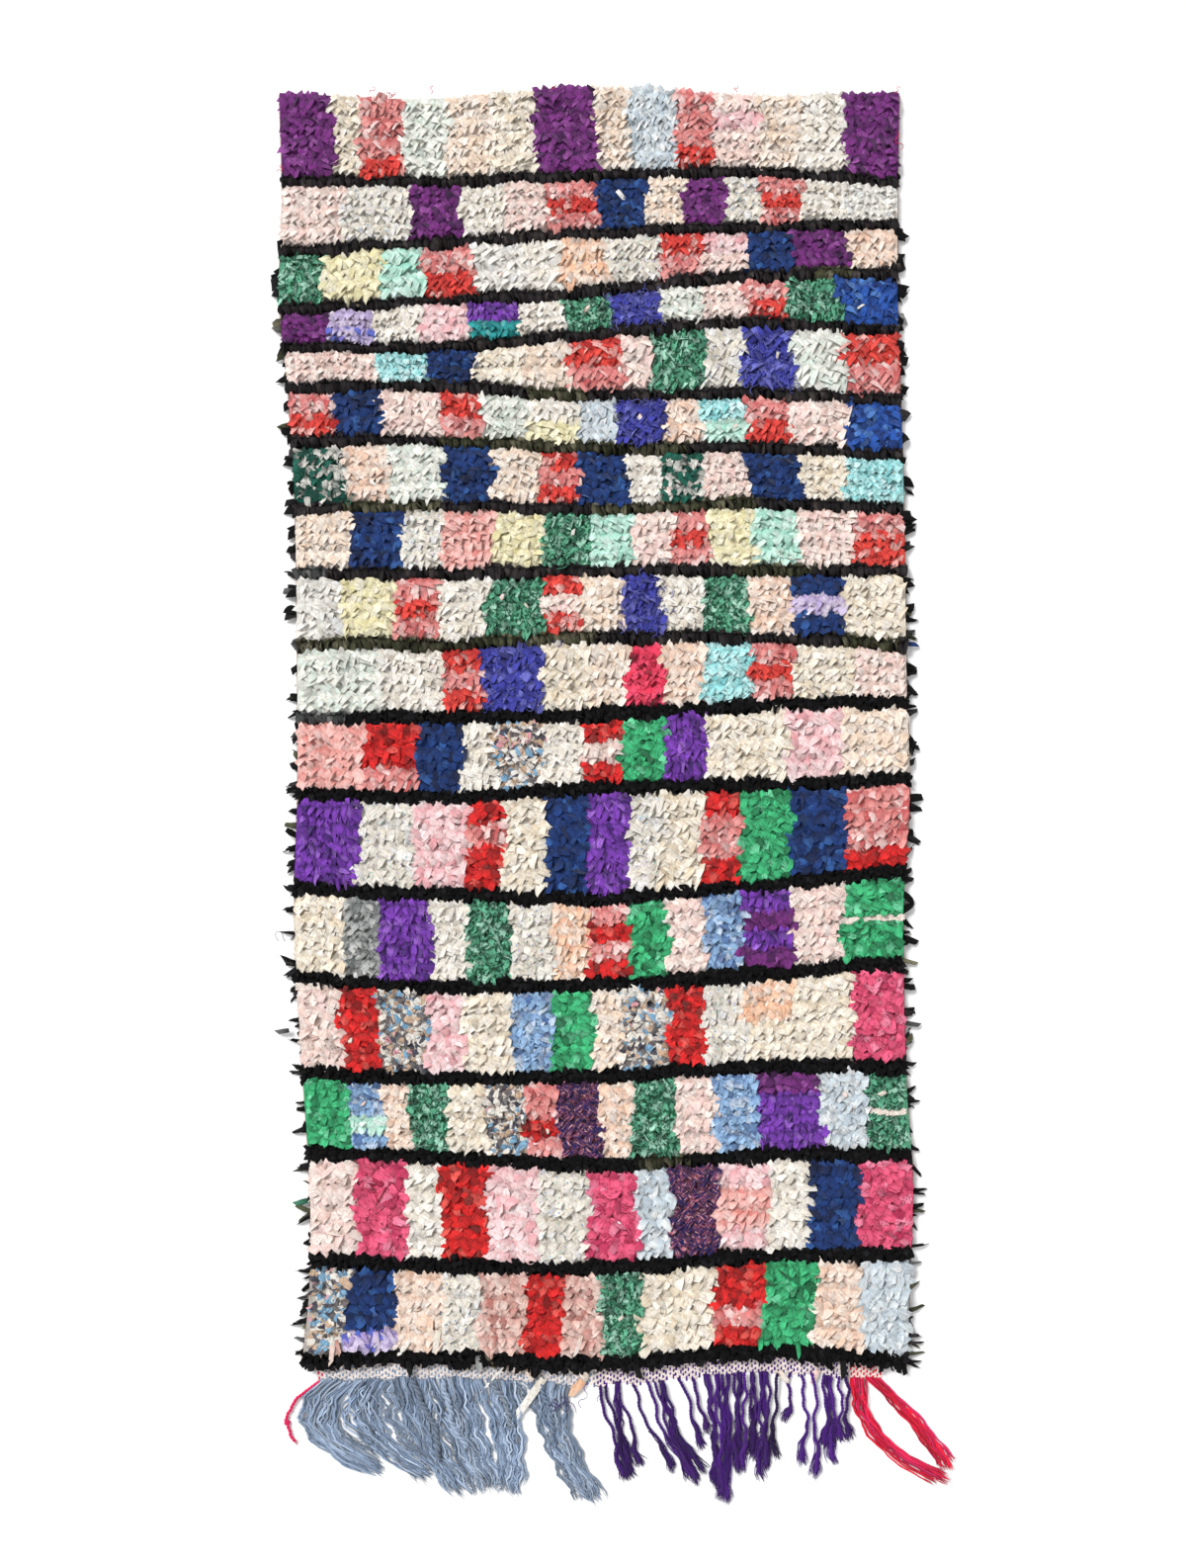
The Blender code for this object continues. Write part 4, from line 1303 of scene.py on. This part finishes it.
# Scraps, in centimetres and degrees: the rag, where its upper end lies by place across the rug and
# distance below the top edge, the way it hangs (0 is down the rug, and positive to the right), how long
# and wide it is, and its heights above the floor at the upper end and at the tip
Scrap = namedtuple("Scrap", "rag x drop yaw length width high low", defaults=(2.4, 2.2))
SCRAPS = rows(
    Scrap,
    ("blush", -45.2, 204.8, -6, 3.2, 0.9),
    ("dusty", -44.6, 204.0, 12, 2.6, 0.8),
    ("lilac", -40.4, 202.8, 24, 3.2, 1.0),
    ("lilac", -38.2, 202.6, 4, 3.8, 1.1),
    ("lilac", -36.4, 202.4, 34, 2.8, 0.8),
    ("lilac", -41.8, 203.4, -30, 2.4, 0.9),
    ("ivory", -32.4, 203.6, -34, 3.6, 0.9),
    ("ivory", -28.0, 202.4, -10, 3.8, 1.2),
    ("oat", -29.6, 201.8, 30, 2.4, 1.0),
    ("dusty", -18.6, 203.4, -12, 4.0, 0.6),
    ("blush", -4.6, 203.2, -16, 3.4, 0.8),
    ("grey", -21.6, 206.6, 8, 2.8, 1.2, 2.2, 1.3),
    ("olive", -20.2, 206.2, 26, 3.0, 1.0, 2.2, 1.3),
    ("ivory", -16.4, 207.6, -42, 6.6, 0.35, 1.4, 0.8),
    ("blush", -16.6, 208.4, 64, 2.2, 1.5, 1.1, 0.9),
    ("peach", -13.6, 208.6, 30, 2.4, 1.7, 1.1, 0.8),
    ("oat", -9.6, 208.9, 84, 4.4, 0.9, 1.0, 0.8),
    ("oat", -4.6, 208.8, 20, 2.4, 1.6, 1.1, 0.8),
    ("ivory", -10.8, 210.6, -36, 7.6, 1.5, 1.3, 0.9),
    ("apricot", -4.4, 211.0, -44, 3.4, 1.5, 1.2, 0.8),
    ("green", 24.6, 203.6, -6, 2.2, 1.0),
    ("green", 30.6, 204.2, 10, 2.6, 0.9),
    ("oat", 27.6, 209.4, 40, 2.6, 1.2, 1.0, 0.8),
    ("blush", 34.0, 209.2, -20, 2.4, 1.0, 1.0, 0.8),
    ("black", -33.0, 207.4, 10, 2.8, 1.0, 2.2, 1.3),
    ("black", -12.0, 207.8, -14, 2.6, 1.1, 2.2, 1.3),
    ("black", 4.2, 208.0, 16, 2.6, 1.2, 2.2, 1.3),
    ("black", 38.0, 207.4, 6, 3.0, 1.2, 2.2, 1.3),
    ("ash", -52.4, 153.6, -80, 2.2, 0.9, 1.4, 0.9),
    ("ash", 48.4, 152.4, 80, 2.4, 0.9, 1.4, 0.9),
    ("navy", 48.2, 90.4, 86, 2.2, 0.9, 1.4, 0.9),
    ("sea", -49.4, 181.4, -70, 2.2, 1.1, 1.5, 1.0),
    ("white", 1.2, 16.6, 40, 2.0, 0.9, 2.3),
)


def end_of_scrap(rag, x, drop, yaw, length, width, high, low, dice):
    surface, fold = dye_and_shade_end(RAGS[rag], dice)
    roll = math.radians(dice.gauss(0, SCRAP_ROLL))
    twist = math.radians(dice.gauss(0, SCRAP_TWIST))
    crown = (high + low) / 2 + SCRAP_CROWN
    cut = "strip", dice.randrange(CUT_VARIANTS)
    return End(x, TOP_EDGE - drop, yaw, length, width, roll, twist, high, crown, low, 1.0, surface, fold, cut)


def scatter_scraps():
    dice = random.Random(53)
    ends = []
    for scrap in SCRAPS:
        yaw = math.radians(scrap.yaw)
        x, drop = scrap.x * CM, scrap.drop * CM
        sizes = [part * CM for part in scrap[4:]]
        ends.append(end_of_scrap(scrap.rag, x, drop, yaw, *sizes, dice))
    for _ in range(BITS):
        number = dice.randrange(len(CHART))
        across = dice.uniform(*BITS_ACROSS)
        drop = row_drop(number, dice.uniform(*BITS_DOWN), across)
        length, width = (dice.uniform(*limits) for limits in BIT_SIZE)
        yaw = dice.uniform(0, 2 * math.pi)
        rag = dice.choice(BIT_RAGS)
        x = across_rug(drop, across)
        ends.append(end_of_scrap(rag, x, drop, yaw, length, width, BIT_LEVEL, BIT_LEVEL, dice))
    return ends


scraps = join_ends("scraps", scatter_scraps(), "rag_pile", finishes["jersey"])

# The heading and the fringe
# Below the last black row the warp is woven plain for 25 millimetres, and its cut ends hang on as the
# fringe: fine blue yarns in wavy clumps, twisted purple cords with brushed ends, and red and pink ones.
HEADING_LENGTH = 0.025
HEADING_TUCK = 0.012
FLOAT_WIDTH = 0.0054
FLOAT_HEIGHT = 0.0044
FLOAT_JITTER = 0.0008
WEFT_FLOAT = (1.5, 1.3)
WARP_FLOAT = (0.6, 2.0)
FLOAT_SHADES = (0.9, 1.2)
HEADING_WAVES = 34
HEADING_WAVER = 0.007
FLOAT_BASE = 0.0006
Heading = namedtuple("Heading", "node start end warp second slot")
HEADINGS = (
    Heading("fringe_pink", -48.0, -46.8, (236, 44, 104), (214, 20, 56), "pink_yarn"),
    Heading("fringe_blue", -46.74, -2.34, (140, 162, 190), (186, 202, 220), "blue_yarn"),
    Heading("fringe_purple", -2.28, 39.22, (80, 28, 132), (52, 16, 96), "purple_yarn"),
    Heading("fringe_red", 39.28, 44.5, (246, 22, 58), (250, 52, 120), "red_yarn"),
)

# Fringe clumps, in centimetres: where the roots start and end along the heading, how far the clump
# bulges sideways, where its tips lie and how far down they reach, how wide they spread, how many
# strands it has, and how late it sweeps over to its tips (1 is evenly)
Clump = namedtuple(
    "Clump", "root_from root_to bulge tip reach tip_spread strands sweep", defaults=(0.0, 1, 1.0)
)
CLUMPS = {
    "fringe_pink": (Clump(-47.7, -47.1, -3.2, -51.3, 11.0),),
    "fringe_blue": rows(
        Clump,
        (-46.3, -41.2, -5.0, -38.7, 15.6, 3.4, 6, 2.0),
        (-40.2, -36.4, -4.0, -30.6, 16.6, 3.0, 5, 1.3),
        (-35.4, -30.4, -1.6, -24.6, 19.2, 3.2, 6),
        (-29.3, -22.9, -0.6, -19.9, 18.6, 3.4, 7),
        (-21.9, -15.8, 0.6, -16.2, 18.8, 2.8, 6),
        (-11.9, -6.6, -1.6, -3.2, 19.4, 3.4, 6, 1.3),
    ),
    "fringe_purple": rows(
        Clump,
        (-1.6, -0.7, -0.2, 2.9, 16.0, 0.9, 2),
        (0.9, 1.6, -0.1, 5.2, 14.6),
        (3.6, 4.2, -0.6, 10.4, 15.2),
        (6.2, 8.6, -0.9, 14.2, 16.6, 1.7, 3),
        (10.8, 11.5, 0.4, 15.0, 12.5),
        (13.2, 13.9, 0.3, 15.6, 8.8),
        (16.2, 18.4, -0.2, 19.0, 22.0, 1.2, 3),
        (20.4, 22.0, 0.1, 21.4, 17.0, 1.0, 2),
        (23.1, 23.8, 0.0, 23.2, 12.8),
        (24.6, 25.8, 0.2, 24.9, 17.2, 0.8, 2),
        (27.1, 27.8, -0.3, 26.9, 14.0),
        (29.2, 29.8, 0.3, 28.8, 7.5),
        (31.0, 31.7, 0.8, 31.3, 14.5),
        (32.8, 33.5, 0.4, 33.6, 18.2),
        (34.8, 35.4, 0.2, 35.2, 12.8),
        (36.0, 36.6, 0.0, 36.6, 15.4),
        (37.3, 37.8, 0.1, 37.8, 11.4),
        (38.4, 38.9, 0.1, 38.9, 11.0),
    ),
    "fringe_red": rows(
        Clump,
        (39.9, 41.5, 0.0, 54.0, 17.4, 2.6, 4, 2.6),
        (42.2, 43.9, 0.9, 55.0, 15.0, 2.2, 4),
    ),
}

# How each stretch is spun: the yarns to a strand and their spread, the yarn's radius, the plies that
# show and their pitch, how far it waves and over what length, then how its cut end opens: the fine
# yarns that it parts into, their radius, the share of its length that has opened, and how wide
Spin = namedtuple("Spin", "yarns spread radius plies pitch wave wavelength hairs hair opened flare")
SPINS = {
    "fringe_pink": Spin(1, 0.0, 0.0026, 2, 0.012, 0.0014, 0.035, 8, 0.0005, 0.1, 0.002),
    "fringe_blue": Spin(7, 0.0170, 0.0017, 1, 0.008, 0.0036, 0.044, 3, 0.0005, 0.2, 0.003),
    "loose": Spin(6, 0.0220, 0.0014, 1, 0.008, 0.0060, 0.050, 3, 0.0005, 0.3, 0.006),
    "fringe_purple": Spin(1, 0.0, 0.0026, 2, 0.011, 0.0036, 0.085, 30, 0.0011, 0.50, 0.0048),
    "matted": Spin(9, 0.0080, 0.0014, 1, 0.008, 0.0030, 0.060, 8, 0.0011, 0.50, 0.0046),
    "fringe_red": Spin(6, 0.0100, 0.0013, 1, 0.009, 0.0022, 0.050, 4, 0.0006, 0.2, 0.002),
    "rope": Spin(1, 0.0, 0.0042, 2, 0.020, 0.0030, 0.080, 16, 0.0007, 0.25, 0.005),
}

# Matted locks among the purple cords
LOCKS = rows(
    Clump,
    (1.2, 1.2, -0.6, 3.4, 15.4),
    (8.4, 8.4, -0.6, 13.4, 16.0),
    (15.6, 17.6, 0.4, 18.2, 18.6, 1.6, 2),
    (19.4, 21.2, 0.0, 20.2, 13.8, 1.4, 2),
    (23.4, 25.2, 0.4, 24.2, 14.2, 1.6, 2),
    (35.6, 35.6, 0.2, 36.0, 12.0),
)

# Looser yarns that fill the blue fringe between its clumps
FILLS = rows(
    Clump,
    (-43.5, -38.0, -3.6, -37.5, 12.6, 3.0, 3, 1.5),
    (-38.5, -33.0, -2.2, -28.5, 14.4, 3.0, 3, 1.1),
    (-30.5, -23.5, -0.4, -22.0, 15.0, 3.0, 3),
    (-15.5, -12.5, 0.6, -11.0, 6.0, 1.5, 2),
)

# Thick twisted ropes among the blue yarns
ROPES = rows(
    Clump,
    (-32.5, -32.5, 0.8, -27.6, 13.5),
    (-27.2, -27.2, -0.6, -23.6, 13.0),
    (-19.6, -19.6, 0.4, -15.6, 8.0),
    (-11.2, -11.2, 0.2, -9.4, 9.5),
)

# The fine yarns of a cut end run past it or stop short, swing and wave sideways, and sink to the floor.
# The spun yarns taper at their tips, and vary in thickness and shade.
YARN_SECTIONS = 34
PLIED_SECTIONS = 84
HAIR_SECTIONS = 8
HAIR_PAST = (-0.006, 0.011)
HAIR_STARTS = (0.4, 1.0)
HAIR_SHADES = (0.6, 1.15)
HAIR_BEND = 1.3
HAIR_WAVE = 0.35
HAIR_WAVES = 7
HAIR_SINKS = 0.5
HAIR_LIFT = 0.6
HAIR_TAPER = (1.0, 1.0, 1.0, 1.0, 1.0, 0.9, 0.7, 0.2)
YARN_TAPER = (0.8, 0.5, 0.1)
YARN_VARIES = (0.85, 1.15)
PLY_RADIUS = 0.62
PLY_REACH = 0.55
YARN_LIFT = 0.0100
YARN_SHADES = 0.32
YARN_DARKEST = 0.55
YARN_LIGHTEST = 1.6
YARN_TWIST = 0.0016
YARN_WOOL = 700.0
YARN_RELIEF = 0.0006

# How a strand lies: how far its yarns gather at the tip, the shares of its length that they reach, how
# far apart they wave, and how much the length of a wave varies from lock to lock. Then the smaller wave
# on each wave, by height and number, the waves' start at the root, the rise and fall of the yarn, how
# much of it is lost by the tip, and the length of yarn inside the heading
TIP_GATHERED = 0.3
YARN_REACHES = (0.86, 1.0)
PHASE_SPREAD = 0.5
LOCK_WAVES = (0.8, 1.4)
RIPPLE_SIZE = 0.4
RIPPLE_COUNT = 2.7
WAVES_START = 5
RISE_LEVEL = 0.6
RISE_WAVE = 0.4
RISE_COUNT = 0.7
RISE_LOST = 0.6
ROOT_TUCK = 0.002
KNOT_AT = 0.6
KNOT_RADIUS = 0.0032
KNOT_YARN = 0.0019
KNOT_SECTIONS = 48


def heading_front(x):
    """Place along the rug of the heading's uneven cut edge at a place across it."""
    waver = noise.noise(Vector((x * HEADING_WAVES, 0, 0))) * HEADING_WAVER
    return bottom_edge(x) - PIECE_GAP - HEADING_LENGTH + waver


def clump_x(clump, share, t):
    """Place across the rug of a strand, by its share of the clump and the way from root to tip."""
    root = blend(clump.root_from, clump.root_to, share)
    tip = clump.tip + (share - 0.5) * clump.tip_spread
    return (blend(root, tip, t**clump.sweep) + clump.bulge * 4 * t * (1 - t)) * CM


def strand_line(clump, share, spin, sections, lock, dice):
    """The line of one yarn from the heading to its tip, waving along with the rest of its lock."""
    side = dice.uniform(-0.5, 0.5) * spin.spread
    tip_side = dice.gauss(0, TIP_GATHERED) * spin.spread
    start = clump_x(clump, share, 0.0)
    front = heading_front(start)
    reach = clump.reach * CM * dice.uniform(*YARN_REACHES)
    phase = lock[0] + dice.gauss(0, PHASE_SPREAD)
    ripple = dice.uniform(0, 2 * math.pi)
    lift = dice.uniform(0.0, 1.0) ** 2 * YARN_LIFT
    line = []
    for n in range(sections):
        t = n / (sections - 1)
        way = t * reach / (spin.wavelength * lock[1]) * 2 * math.pi + phase
        wave = math.sin(way) + RIPPLE_SIZE * math.sin(RIPPLE_COUNT * way + ripple)
        wave = spin.wave * wave * min(1.0, t * WAVES_START)
        x = clump_x(clump, share, t) + blend(side, tip_side, t) + wave
        rise = RISE_LEVEL + RISE_WAVE * math.sin(way * RISE_COUNT + ripple)
        z = spin.radius * 2 + lift * rise * (1 - RISE_LOST * t)
        line.append((x, front + ROOT_TUCK - reach * t, z))
    return np.array(line)


def ply(line, spin, turn):
    """One of the plies that wind round each other along a line."""
    ahead = np.gradient(line, axis=0)
    step = np.linalg.norm(ahead, axis=1, keepdims=True)
    ahead /= step
    side = np.cross(ahead, (0.0, 0.0, 1.0))
    over = np.cross(side, ahead)
    wound = np.cumsum(step[:, 0]) / spin.pitch * 2 * math.pi + turn
    reach = spin.radius * PLY_REACH
    return line + reach * (np.cos(wound)[:, None] * side + np.sin(wound)[:, None] * over)


def hairs_at(line, spin, dice):
    """The fine yarns that a cut end opens into, which follow it and run a little past it."""
    last = len(line) - 1
    ahead = (line[-1] - line[-4]) / np.linalg.norm(line[-1] - line[-4])
    side = np.array((-ahead[1], ahead[0], 0.0))
    way = np.linspace(0, 1, HAIR_SECTIONS)
    for _ in range(spin.hairs):
        first = last * (1 - spin.opened * dice.uniform(*HAIR_STARTS))
        along = np.linspace(first, last, HAIR_SECTIONS)
        steps = range(last + 1)
        path = np.stack([np.interp(along, steps, line[:, axis]) for axis in range(3)], axis=-1)
        swing = dice.gauss(0, 1) * way**HAIR_BEND
        swing = swing + dice.gauss(0, HAIR_WAVE) * np.sin(way * HAIR_WAVES + dice.uniform(0, 6))
        past = way**2 * dice.uniform(*HAIR_PAST)
        path += side * (swing * spin.flare)[:, None] + ahead * past[:, None]
        level = path[:, 2] * (1 - HAIR_SINKS * way) + dice.uniform(0, 1) * spin.flare * HAIR_LIFT
        path[:, 2] = np.maximum(level, spin.hair * 2)
        yield path


def spin_yarns(clumps, spin, warp, second, dice):
    """All the yarns of some clumps, with the brush at each cut end."""
    yarns, thick, hairs, yarn_shades, hair_shades = [], [], [], [], []
    sections = PLIED_SECTIONS if spin.plies > 1 else YARN_SECTIONS
    for clump in clumps:
        for strand in range(clump.strands):
            share = strand / (clump.strands - 1) if clump.strands > 1 else 0.5
            lock = (dice.uniform(0, 2 * math.pi), dice.uniform(*LOCK_WAVES))
            for _ in range(spin.yarns):
                line = strand_line(clump, share, spin, sections, lock, dice)
                light = min(max(dice.gauss(1.0, YARN_SHADES), YARN_DARKEST), YARN_LIGHTEST)
                shade = light * blend(warp, second, dice.random() ** 2)
                for number in range(spin.plies):
                    yarns.append(ply(line, spin, number * math.pi) if spin.plies > 1 else line)
                    yarn_shades.append(shade)
                    share_of_yarn = PLY_RADIUS if spin.plies > 1 else 1.0
                    thick.append(spin.radius * share_of_yarn * dice.uniform(*YARN_VARIES))
                for hair in hairs_at(line, spin, dice):
                    hairs.append(hair)
                    hair_shades.append(shade * dice.uniform(*HAIR_SHADES))
    taper = np.ones(sections)
    taper[-len(YARN_TAPER):] = YARN_TAPER
    radii = np.array(thick)[:, None] * taper
    hair_radii = np.tile(np.array(HAIR_TAPER) * spin.hair, (len(hairs), 1))
    return [
        tubes(np.array(yarns), radii, np.array(yarn_shades)),
        tubes(np.array(hairs), hair_radii, np.array(hair_shades), 3),
    ]


def weave_heading(heading):
    """The plain weave of one stretch: floats of the pale weft and of the coloured warp, like bricks."""
    dice = random.Random(7)
    places, sizes, colours = [], [], []
    columns = max(2, round((heading.end - heading.start) * CM / FLOAT_WIDTH))
    picks = round((HEADING_LENGTH + HEADING_TUCK) / FLOAT_HEIGHT)
    for column in range(columns):
        x = blend(heading.start * CM, heading.end * CM, (column + 0.5) / columns)
        for pick in range(picks):
            weft = (column + pick) % 2 == 0
            place = (x, heading_front(x) + (pick + 0.5) * FLOAT_HEIGHT)
            places.append([each + dice.gauss(0, FLOAT_JITTER) for each in place])
            wide, tall = WEFT_FLOAT if weft else WARP_FLOAT
            sizes.append((FLOAT_WIDTH * wide, FLOAT_HEIGHT * tall))
            colours.append(light_of(WEFT_COLOUR if weft else heading.warp) * dice.uniform(*FLOAT_SHADES))
    return lay_pads(np.array(places), np.array(sizes), np.array(colours), FLOAT_BASE, PAD_RISE)


def yarn_finish(name, roughness, sheen):
    """Spun wool: the colour of its points, lighter and darker along it, with the twist as a fine slanting
    rib, in relief and as painted shade in its grooves.
    """
    finish = Finish(name, Sheen_Weight=sheen, Specular_IOR_Level=0.2)
    u, v, _ = finish.parts(finish.strip())
    rib = (u + v * 0.6).waves(YARN_TWIST) * 0.5 + 0.5
    wool = finish.mottle(finish.place(), YARN_WOOL, 3.0)
    # Painted shade in the grooves of the twist, mixed with the wool's own mottling.
    shade = finish.limit(wool * 0.7 + rib * 0.3, 0.2, 0.75)
    worn = finish.tint(shade, dye(196, 192, 196), dye(255, 255, 255))
    colour = finish.tint(1.0, finish.attribute("dyed"), worn, "MULTIPLY")
    return finish.done(colour, wool * 0.2 + roughness, rib * 0.6 + wool, YARN_RELIEF)


def tie_knot(heading):
    """The overhand knot in the pink tie, a loop of its yarn wound twice round."""
    clump = CLUMPS[heading.node][0]
    x = clump_x(clump, 0.5, KNOT_AT)
    y = heading_front(clump_x(clump, 0.5, 0.0)) - clump.reach * CM * KNOT_AT
    line = [
        (x + KNOT_RADIUS * math.cos(turn), y + KNOT_RADIUS * math.sin(turn),
         KNOT_RADIUS * (1.4 + 0.5 * math.sin(turn * 1.5)))
        for turn in np.linspace(0, 4 * math.pi, KNOT_SECTIONS)
    ]
    radii = np.full((1, KNOT_SECTIONS), KNOT_YARN)
    return tubes(np.array([line]), radii, np.array([light_of(heading.warp)]))


def add_fringes():
    made = []
    for heading in HEADINGS:
        dice = random.Random(heading.node)
        dyes = light_of(heading.warp), light_of(heading.second)
        parts = [weave_heading(heading)]
        parts += spin_yarns(CLUMPS[heading.node], SPINS[heading.node], *dyes, dice)
        if heading.node == "fringe_blue":
            parts += spin_yarns(FILLS, SPINS["loose"], *dyes, dice)
            parts += spin_yarns(ROPES, SPINS["rope"], *dyes, dice)
        if heading.node == "fringe_purple":
            parts += spin_yarns(LOCKS, SPINS["matted"], *dyes, dice)
        if heading.node == "fringe_pink":
            parts.append(tie_knot(heading))
        name = heading.node.split("_")[1] + "_warp"
        finish = yarn_finish(name + "_wool", 0.7, 0.1)
        piece = add_piece(name, join_parts(name, parts), finish, heading.slot)
        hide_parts(heading.node)
        made.append(piece)
    return made


fringes = add_fringes()

# The floor, the light and the camera
# A plain pale studio floor in a soft light from the upper left and all round, with the camera straight
# above the rug.
VIEW_WIDTH = 1.936
VIEW_CENTRE = (-0.0272, 0.0198)
CAMERA_HEIGHT = 4.0
PILE_PLANE = 0.018
SENSOR = 36.0
FLOOR_HALF = 6.0
KEY_TOWARD = (-1.0, 1.1, 1.9)
KEY_SPREAD = 20
KEY_STRENGTH = 2.7
SKY_STRENGTH = 0.72


def add_floor():
    bm = bmesh.new()
    bmesh.ops.create_grid(bm, x_segments=1, y_segments=1, size=FLOOR_HALF)
    mesh = mesh_of(bm, "floor")
    floor = bpy.data.objects.new("floor", mesh)
    bpy.context.scene.collection.objects.link(floor)
    finish = Finish("studio_floor")
    grain = finish.mottle(finish.place(), 3.0)
    colour = finish.tint(grain, dye(246, 246, 246), dye(250, 250, 250))
    mesh.materials.append(finish.done(colour, grain * 0.1 + 0.8, grain, 0.0001))
    floor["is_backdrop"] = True


def add_sun(name, toward, angle, strength):
    light = bpy.data.lights.new(name, "SUN")
    light.angle = math.radians(angle)
    light.energy = strength
    lamp = bpy.data.objects.new(name, light)
    lamp.rotation_euler = Vector(toward).to_track_quat("Z", "Y").to_euler()
    bpy.context.scene.collection.objects.link(lamp)


def add_camera():
    camera = bpy.data.cameras.new("camera")
    camera.sensor_fit = "HORIZONTAL"
    camera.sensor_width = SENSOR
    camera.lens = SENSOR * (CAMERA_HEIGHT - PILE_PLANE) / VIEW_WIDTH
    made = bpy.data.objects.new("camera", camera)
    made.location = (*VIEW_CENTRE, CAMERA_HEIGHT)
    bpy.context.scene.collection.objects.link(made)
    bpy.context.scene.camera = made


add_floor()
add_sun("key_light", KEY_TOWARD, KEY_SPREAD, KEY_STRENGTH)
add_camera()
world = bpy.data.worlds.new("studio")
world.use_nodes = True
sky = world.node_tree.nodes["Background"].inputs
sky["Color"].default_value = (1.0, 1.0, 1.0, 1.0)
sky["Strength"].default_value = SKY_STRENGTH
bpy.context.scene.world = world
bpy.context.scene.view_settings.view_transform = "Standard"

boxes = {"cad": cad_box, "visual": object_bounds()}
{name: [list(corner) for corner in box] for name, box in boxes.items()}
